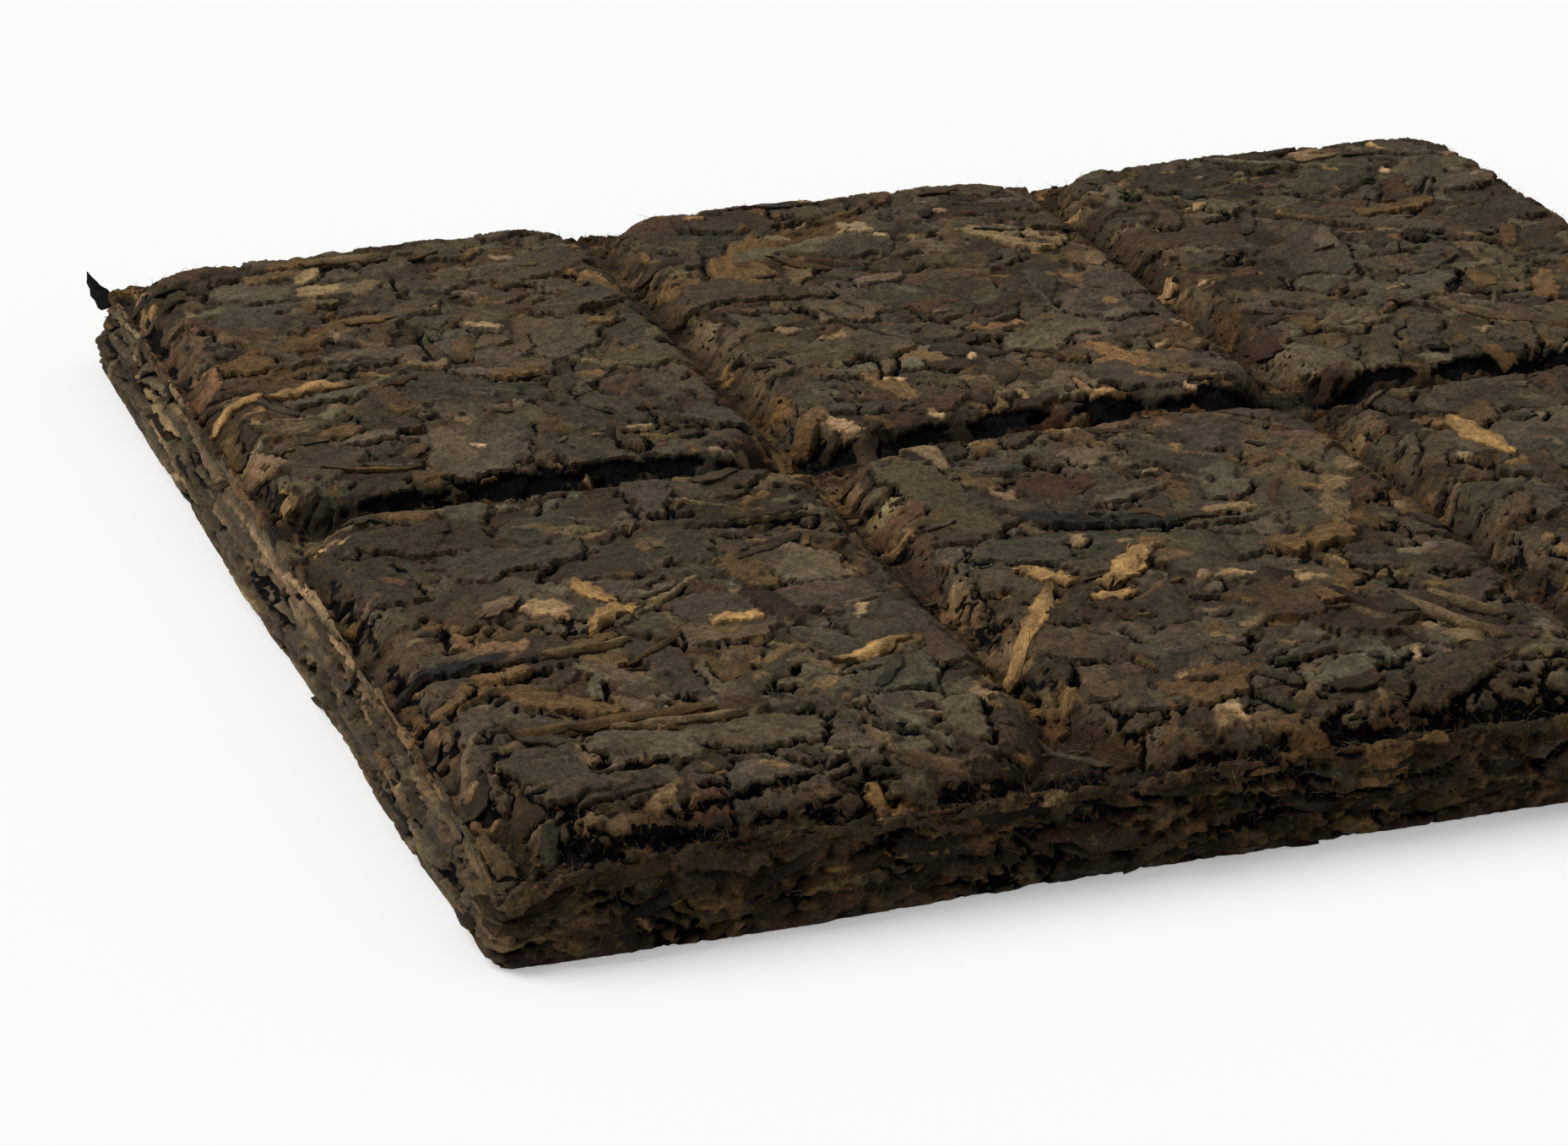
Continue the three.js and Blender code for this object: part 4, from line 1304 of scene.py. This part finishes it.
class TEABRICK_OT_loose_leaf(LeafOperator, bpy.types.Operator):
    """Lays flakes, chips and stems with raised edges on the pads and walls"""

    bl_idname = "teabrick.loose_leaf"
    bl_label = "Loose leaf"

    EDGE_CLEAR = 0.6
    TILT = 0.12  # how much higher or lower an end lies
    FRONT_TILT = (0.0, 0.16)  # how much higher the edge towards the front lies
    WALL_TILT = 0.15
    WALL_LOWER_TILT = (0.05, 0.3)  # how much further out the lower edge lies
    STREAKED_BARE = 0.75  # share of the streaked wall's loose leaf that is left out

    def execute(self, context):
        self.start(context, 4)
        rng, form, counts = self.rng, self.form, self.counts
        top, wall = MATS["top"], MATS["wall"]
        palette = Palette(self.colours, TOP_SHARES, strength=1.25)
        bits = Palette(self.colours, CHIP_SHARES, strength=1.25, spread=0.28)
        half = np.array([form.half_length, form.half_width]) - self.EDGE_CLEAR
        numbers = {
            "flake": counts.loose_flakes, "chip": counts.loose_chips, "strip": counts.loose_strips
        }
        heaps = {kind: Heap(kind) for kind in numbers}
        for kind, (x, y) in self.shuffled(numbers, -half, half):
            tint = (palette if kind == "flake" else bits).draw(rng)
            heading = rng.uniform(0, math.pi)
            facing = -1 if math.cos(heading) > 0 else 1
            tilt = (rng.uniform(-self.TILT, self.TILT), facing * rng.uniform(*self.FRONT_TILT))
            heaps[kind].lay(rng, top, x, y, heading, tint, tilt=tilt)
        for kind, heap in heaps.items():
            dress(heap.finish(f"top_loose_{kind}s", form.on_top), leaf_material())
        walls = Palette(self.colours, WALL_SHARES, strength=0.6, spread=0.3)
        numbers = {"flake": counts.wall_loose // 2, "sliver": counts.wall_loose // 2}
        heaps = {kind: Heap(kind) for kind in numbers}
        high = (form.girth, form.rim_height - self.EDGE_CLEAR)
        for kind, (s, t) in self.shuffled(numbers, (0, 0.5), high):
            if form.facing(s) == STREAKED and rng.uniform() < self.STREAKED_BARE:
                continue
            shape = {"breadth": rng.uniform(0.6, 1.5)} if kind == "flake" else {}
            tilt = (
                rng.uniform(-self.WALL_TILT, self.WALL_TILT), -rng.uniform(*self.WALL_LOWER_TILT)
            )
            heaps[kind].lay(rng, wall, s, t, rng.normal(0, 0.25), walls.draw(rng), tilt=tilt, **shape)
        for kind, heap in heaps.items():
            dress(heap.finish(f"wall_loose_{kind}s", form.on_wall), leaf_material())
        return {"FINISHED"}


def scatter_tree(name, shape):
    """A node tree that strews one small shape over a surface, with named inputs."""
    tree = bpy.data.node_groups.new(name, "GeometryNodeTree")
    panel = tree.interface
    panel.new_socket("Geometry", in_out="INPUT", socket_type="NodeSocketGeometry")
    for label, kind in (
        ("Density", "Float"), ("Smallest", "Vector"), ("Largest", "Vector"), ("Tilt", "Float"),
        ("Dark", "Color"), ("Light", "Color"), ("Seed", "Int"), ("Material", "Material"),
    ):
        panel.new_socket(label, in_out="INPUT", socket_type=f"NodeSocket{kind}")
    panel.new_socket("Geometry", in_out="OUTPUT", socket_type="NodeSocketGeometry")
    given = tree.nodes.new("NodeGroupInput").outputs
    seed = given["Seed"]
    points = node(
        tree, "GeometryNodeDistributePointsOnFaces",
        Mesh=given["Geometry"], Density=given["Density"], Seed=seed,
    )
    size = random_value(tree, "FLOAT_VECTOR", given["Smallest"], given["Largest"], seed)
    most = first_output(node(tree, "ShaderNodeCombineXYZ", given["Tilt"], given["Tilt"], math.pi))
    least = first_output(node(tree, "ShaderNodeVectorMath", most, -1.0, operation="SCALE"))
    turn = random_value(tree, "FLOAT_VECTOR", least, most, seed)
    euler = first_output(node(tree, "FunctionNodeEulerToRotation", turn))
    spun = node(
        tree, "FunctionNodeRotateRotation", points.outputs["Rotation"], euler, rotation_space="LOCAL"
    )
    placed = node(
        tree, "GeometryNodeInstanceOnPoints",
        Points=points.outputs["Points"], Instance=shape(tree), Scale=size, Rotation=spun.outputs[0],
    )
    share = random_value(tree, "FLOAT", 0.0, 1.0, seed)
    mixed = node(tree, "ShaderNodeMix", share, given["Dark"], given["Light"], data_type="RGBA")
    tinted = node(
        tree, "GeometryNodeStoreNamedAttribute", data_type="FLOAT_COLOR", domain="INSTANCE",
        Name="tint", Geometry=first_output(placed), Value=first_output(mixed),
    )
    real = node(tree, "GeometryNodeRealizeInstances", Geometry=first_output(tinted))
    dressed = node(
        tree, "GeometryNodeSetMaterial", Geometry=first_output(real), Material=given["Material"]
    )
    node(tree, "NodeGroupOutput", Geometry=first_output(dressed))
    return tree


def first_output(made):
    """A node's first output that is in use."""
    return [socket for socket in made.outputs if socket.enabled][0]


def random_value(tree, kind, low, high, seed):
    """A random number or vector between two others."""
    return first_output(
        node(tree, "FunctionNodeRandomValue", data_type=kind, Min=low, Max=high, Seed=seed)
    )


def crumb_shape(tree):
    return first_output(node(tree, "GeometryNodeMeshCube", Size=(1.7, 1.7, 1.7)))


def fibre_shape(tree):
    cone = node(
        tree, "GeometryNodeMeshCone", Vertices=4, Radius_Top=0.25, Radius_Bottom=1.0, Depth=2.0
    )
    laid = node(
        tree, "GeometryNodeTransform", Geometry=cone.outputs["Mesh"], Rotation=(0, math.pi / 2, 0)
    )
    return first_output(laid)


class TEABRICK_OT_crumbs(LeafOperator, bpy.types.Operator):
    """Strews crumbs and leaf fibres over the walls and grooves with Geometry Nodes"""

    bl_idname = "teabrick.crumbs"
    bl_label = "Crumbs and fibres"

    # Their shape, their smallest and largest half sizes, how far they tilt, and two colours.
    KINDS = {
        "crumbs": (crumb_shape, (0.08, 0.06, 0.04), (0.36, 0.24, 0.11), 0.7, "umber", "ochre"),
        "fibres": (fibre_shape, (0.15, 0.014, 0.014), (0.6, 0.035, 0.035), 0.4, "umber", "tan"),
    }
    LOWEST = 0.7  # how far above the underside they start
    CLEAR = 1.6  # how far in from the left wall they start

    def execute(self, context):
        self.start(context, 6)
        densities = {"crumbs": self.counts.crumb_density, "fibres": self.counts.fibre_density}
        for number, (name, (shape, least, most, tilt, dark, light)) in enumerate(self.KINDS.items()):
            host = self.host(name)
            tree = scatter_tree(f"strewn_{name}", shape)
            strew = host.modifiers.new("Strew", "NODES")
            strew.node_group = tree
            values = {
                "Density": densities[name],
                "Smallest": [size * MM for size in least],
                "Largest": [size * MM for size in most],
                "Tilt": tilt,
                "Dark": (*getattr(self.colours, dark), 1.0),
                "Light": (*getattr(self.colours, light), 1.0),
                "Seed": self.counts.seed + number,
                "Material": leaf_material(),
            }
            for item in tree.interface.items_tree:
                if item.in_out == "INPUT" and item.name in values:
                    strew[item.identifier] = values[item.name]
            context.view_layer.update()
            evaluated = host.evaluated_get(context.evaluated_depsgraph_get())
            made = bpy.data.meshes.new_from_object(evaluated)
            host.modifiers.remove(strew)
            host.data = made
            host.name = made.name = f"wall_and_groove_{name}"
            dress(host, leaf_material())
        return {"FINISHED"}

    def host(self, name):
        """One mesh of the walls and of the pads' grooves and slopes, to strew things over."""
        points = np.concatenate([part[0] for part in BARE_PLACES])
        starts = np.cumsum([0] + [len(part[0]) for part in BARE_PLACES[:-1]])
        faces = np.concatenate([part[1] + start for part, start in zip(BARE_PLACES, starts)])
        bare = (points[:, 2] > self.LOWEST) & (points[:, 0] > self.CLEAR - self.form.half_length)
        faces = faces[bare[faces].all(1)]
        mesh = bpy.data.meshes.new(name)
        mesh.from_pydata((points * MM).tolist(), [], faces.tolist())
        return add(name, mesh)


class TEABRICK_OT_buds(LeafOperator, bpy.types.Operator):
    """Lays the golden buds and stems that stand out, and the leaf tip at the back left corner"""

    bl_idname = "teabrick.buds"
    bl_label = "Buds"

    # The leaf tip's spine from its foot in the wall to its end, its breadths and its thickness.
    TIP = (
        (-53.8, 51.8, 4.6),
        (-54.4, 52.0, 5.3),
        (-54.8, 52.1, 5.9),
        (-55.2, 52.2, 6.6),
        (-55.4, 52.3, 7.3),
    )
    TIP_BREADTHS = (1.7, 1.5, 1.1, 0.6, 0.1)
    TIP_THICK = 0.3
    TIP_ACROSS = (0.9, -0.25, 0.35)
    TIP_ROWS = 13
    # The blade's section: how far across it, and how far through it, each edge lies.
    TIP_SECTION = ((-1, 0), (-0.6, 1), (0, 1.3), (0.6, 1), (1, 0), (0.6, -1), (0, -1.3), (-0.6, -1))

    def execute(self, context):
        self.start(context, 5)
        rng, form, top = self.rng, self.form, MATS["top"]
        heaps = {"bud": Heap("bud"), "strip": Heap("strip")}
        for kind, colour, x, y, length, breadth, degrees, bend, rise in SHOWN_LEAVES:
            if kind in heaps:
                tint = self.colour(colour) * rng.uniform(*SHOWN_TINT)
                heading = math.radians(degrees)
                shape = {"length": length, "breadth": breadth, "bend": bend, "rise": rise * RAISED}
                heaps[kind].lay(rng, top, x, y, heading, tint, **shape)
        for kind, heap in heaps.items():
            name = {"bud": "golden_buds", "strip": "pale_stems"}[kind]
            dress(heap.finish(name, form.on_top, edge_shade=0.35), leaf_material())
        self.tip()
        return {"FINISHED"}

    def tip(self):
        """One leaf's end that stands out past the back left corner: a thin, curved blade."""
        knots, rows = np.linspace(0, 1, len(self.TIP)), np.linspace(0, 1, self.TIP_ROWS)
        spine = np.stack([np.interp(rows, knots, part) for part in zip(*self.TIP)], -1)
        half = np.interp(rows, knots, self.TIP_BREADTHS) / 2
        half = half * (1 + 0.12 * np.sin(rows * 19))
        across = np.array(self.TIP_ACROSS) / np.linalg.norm(self.TIP_ACROSS)
        along = spine[-1] - spine[0]
        normal = np.cross(along, across)
        normal *= self.TIP_THICK / 2 / np.linalg.norm(normal)
        flat = np.outer(half, across)
        through = normal * np.minimum(half, 1)[:, None]
        points = np.stack([spine + flat * u + through * v for u, v in self.TIP_SECTION], 1)
        grid = np.arange(points[..., 0].size).reshape(points.shape[:2])
        around = np.concatenate([grid, grid[:, :1]], 1)
        faces = [quads_of(around), np.stack([grid[0], grid[-1][::-1]])]
        points = points.reshape(-1, 3)
        tint = np.tile(self.colour("ink") * 1.5, (len(points), 1))
        dress(make_piece("leaf_tip", points, faces, tint, points), leaf_material())


class TEABRICK_OT_stage(bpy.types.Operator):
    """Makes the floor, the light and the camera"""

    bl_idname = "teabrick.stage"
    bl_label = "Stage"

    def execute(self, context):
        studio = context.scene.tea_brick_studio
        half = studio.floor_size / 2
        corners = [(-half, -half, 0), (half, -half, 0), (half, half, 0), (-half, half, 0)]
        mesh = bpy.data.meshes.new("floor")
        mesh.from_pydata(corners, [], [(0, 1, 2, 3)])
        floor = add("floor", mesh)
        paper = bpy.data.materials.new("pale_floor")
        paper.use_nodes = True
        shader = paper.node_tree.nodes["Principled BSDF"]
        for name, value in (
            ("Base Color", (*studio.floor_colour, 1)),
            ("Emission Color", (*studio.floor_glow, 1)),
            ("Emission Strength", 1.0),
            ("Roughness", 0.9),
            ("Specular IOR Level", 0.0),
        ):
            shader.inputs[name].default_value = value
        mesh.materials.append(paper)
        world = bpy.data.worlds.new("studio")
        world.use_nodes = True
        sky = world.node_tree.nodes["Background"].inputs
        sky["Color"].default_value = (1, 1, 1, 1)
        sky["Strength"].default_value = studio.sky
        context.scene.world = world
        lamp = bpy.data.lights.new("key", "SUN")
        lamp.energy = studio.sun
        lamp.angle = studio.sun_angle
        key = add("key", lamp)
        key.rotation_euler = Vector(studio.sun_from).to_track_quat("Z", "Y").to_euler()
        lens = bpy.data.cameras.new("camera")
        lens.lens = studio.lens
        lens.sensor_width = 36
        lens.clip_start, lens.clip_end = 0.01, 20
        camera = add("camera", lens)
        back = Vector((
            math.sin(studio.azimuth) * math.cos(studio.elevation),
            -math.cos(studio.azimuth) * math.cos(studio.elevation),
            math.sin(studio.elevation),
        ))
        camera.location = Vector(studio.aim) + back * studio.distance
        camera.rotation_euler = back.to_track_quat("Z", "Y").to_euler()
        context.scene.camera = camera
        context.scene.view_settings.view_transform = "Standard"
        context.scene.view_settings.look = "None"
        return {"FINISHED"}


def node(tree, kind, *inputs, **values):
    """Adds a node: inputs fill its sockets in order, and values its settings or sockets by name."""
    made = tree.nodes.new(kind)
    pairs = []
    for key, value in values.items():
        name = key.replace("_", " ")
        sockets = [socket for socket in made.inputs if socket.name == name and socket.enabled]
        if sockets:
            pairs.append((sockets[0], value))
        else:
            setattr(made, key, value)
    pairs += zip([socket for socket in made.inputs if socket.enabled], inputs)
    for socket, value in pairs:
        if isinstance(value, bpy.types.NodeSocket):
            tree.links.new(value, socket)
        else:
            socket.default_value = value
    return made


def ranged(tree, value, low, high, start=0.3, end=0.7):
    """Spreads a noise's middle values between two numbers."""
    return first_output(
        node(tree, "ShaderNodeMapRange", value, From_Min=start, From_Max=end, To_Min=low, To_Max=high)
    )


# The leaf's noises: how much each darkens and lightens it, and its bump's strength and depth.
LEAF_NOISES = {
    "streaks": (0.78, 1.24, 0.4, 0.00030),
    "fibres": (0.74, 1.3, 0.6, 0.00016),
    "mottle": (0.6, 1.45, 0.6, 0.00030),
    "felt": (0.5, 1.6, 1.0, 0.00034),
}
PAINTED_CRACK_SHADE = 0.03  # how bright the painted shade in the depth of a crack is


def leaf_material():
    """Dry pressed leaf: its tint, which carries painted light and shade, with the cracks painted near
    black as shade, fibres along the grain, mottling and fine wrinkles.
    """
    name = "pressed_leaf"
    if name in bpy.data.materials:
        return bpy.data.materials[name]
    material = bpy.data.materials.new(name)
    material.use_nodes = True
    tree = material.node_tree
    shader = tree.nodes["Principled BSDF"]
    tint = node(tree, "ShaderNodeAttribute", attribute_name="tint").outputs
    grain = node(tree, "ShaderNodeAttribute", attribute_name="grain").outputs["Vector"]
    place = node(tree, "ShaderNodeTexCoord").outputs["Object"]
    noises = {}
    for key, stretch, detail in (("fibres", (1.3, 6.0, 1.0), 4.0), ("streaks", (0.3, 1.3, 1.0), 3.0)):
        drawn = first_output(node(tree, "ShaderNodeVectorMath", grain, stretch, operation="MULTIPLY"))
        noises[key] = first_output(node(
            tree, "ShaderNodeTexNoise",
            Vector=drawn, Scale=1.0, Detail=detail, Roughness=0.65, Distortion=0.6,
        ))
    for key, scale, detail in (("mottle", 900.0, 5.0), ("felt", 4200.0, 6.0)):
        noises[key] = first_output(node(
            tree, "ShaderNodeTexNoise", Vector=place, Scale=scale, Detail=detail, Roughness=0.75
        ))
    # The tint's fourth value, roughened by the mottle, darkens the cracks to near black: painted
    # shade.
    torn = node(
        tree, "ShaderNodeMath", noises["mottle"], 0.3, tint["Alpha"], operation="MULTIPLY_ADD"
    )
    factor = ranged(tree, first_output(torn), PAINTED_CRACK_SHADE, 1.0, 0.56, 0.74)
    normal = None
    for key, (low, high, strength, depth) in LEAF_NOISES.items():
        value = ranged(tree, noises[key], low, high)
        factor = first_output(node(tree, "ShaderNodeMath", factor, value, operation="MULTIPLY"))
        bump = node(
            tree, "ShaderNodeBump", Strength=strength, Distance=depth, Height=noises[key]
        )
        if normal is not None:
            tree.links.new(normal, bump.inputs["Normal"])
        normal = bump.outputs["Normal"]
    colour = node(tree, "ShaderNodeVectorMath", tint["Color"], factor, operation="SCALE")
    tree.links.new(first_output(colour), shader.inputs["Base Color"])
    tree.links.new(ranged(tree, noises["mottle"], 0.62, 0.88), shader.inputs["Roughness"])
    tree.links.new(normal, shader.inputs["Normal"])
    shader.inputs["Specular IOR Level"].default_value = 0.1
    return material


class TEABRICK_PT_panel(bpy.types.Panel):
    """Lists what the brick is made of"""

    bl_idname = "TEABRICK_PT_panel"
    bl_label = "Tea Brick"
    bl_space_type = "VIEW_3D"
    bl_region_type = "UI"
    bl_category = "Tea Brick"

    def draw(self, context):
        for step in STEPS:
            self.layout.operator(f"teabrick.{step}")


STEPS = ("stage", "pads", "walls", "underside", "loose_leaf", "buds", "crumbs")
CLASSES = (
    BrickForm,
    LeafCounts,
    LeafColours,
    StudioSettings,
    TEABRICK_OT_stage,
    TEABRICK_OT_pads,
    TEABRICK_OT_walls,
    TEABRICK_OT_underside,
    TEABRICK_OT_loose_leaf,
    TEABRICK_OT_buds,
    TEABRICK_OT_crumbs,
    TEABRICK_PT_panel,
)
GROUPS = {
    "tea_brick_form": BrickForm,
    "tea_brick_leaf": LeafCounts,
    "tea_brick_colours": LeafColours,
    "tea_brick_studio": StudioSettings,
}


def register():
    for cls in CLASSES:
        bpy.utils.register_class(cls)
    for name, group in GROUPS.items():
        setattr(bpy.types.Scene, name, PointerProperty(type=group))


def unregister():
    for name in GROUPS:
        delattr(bpy.types.Scene, name)
    for cls in reversed(CLASSES):
        bpy.utils.unregister_class(cls)


def main():
    register()
    for step in STEPS:
        getattr(bpy.ops.teabrick, step)()


if __name__ == "__main__":
    main()
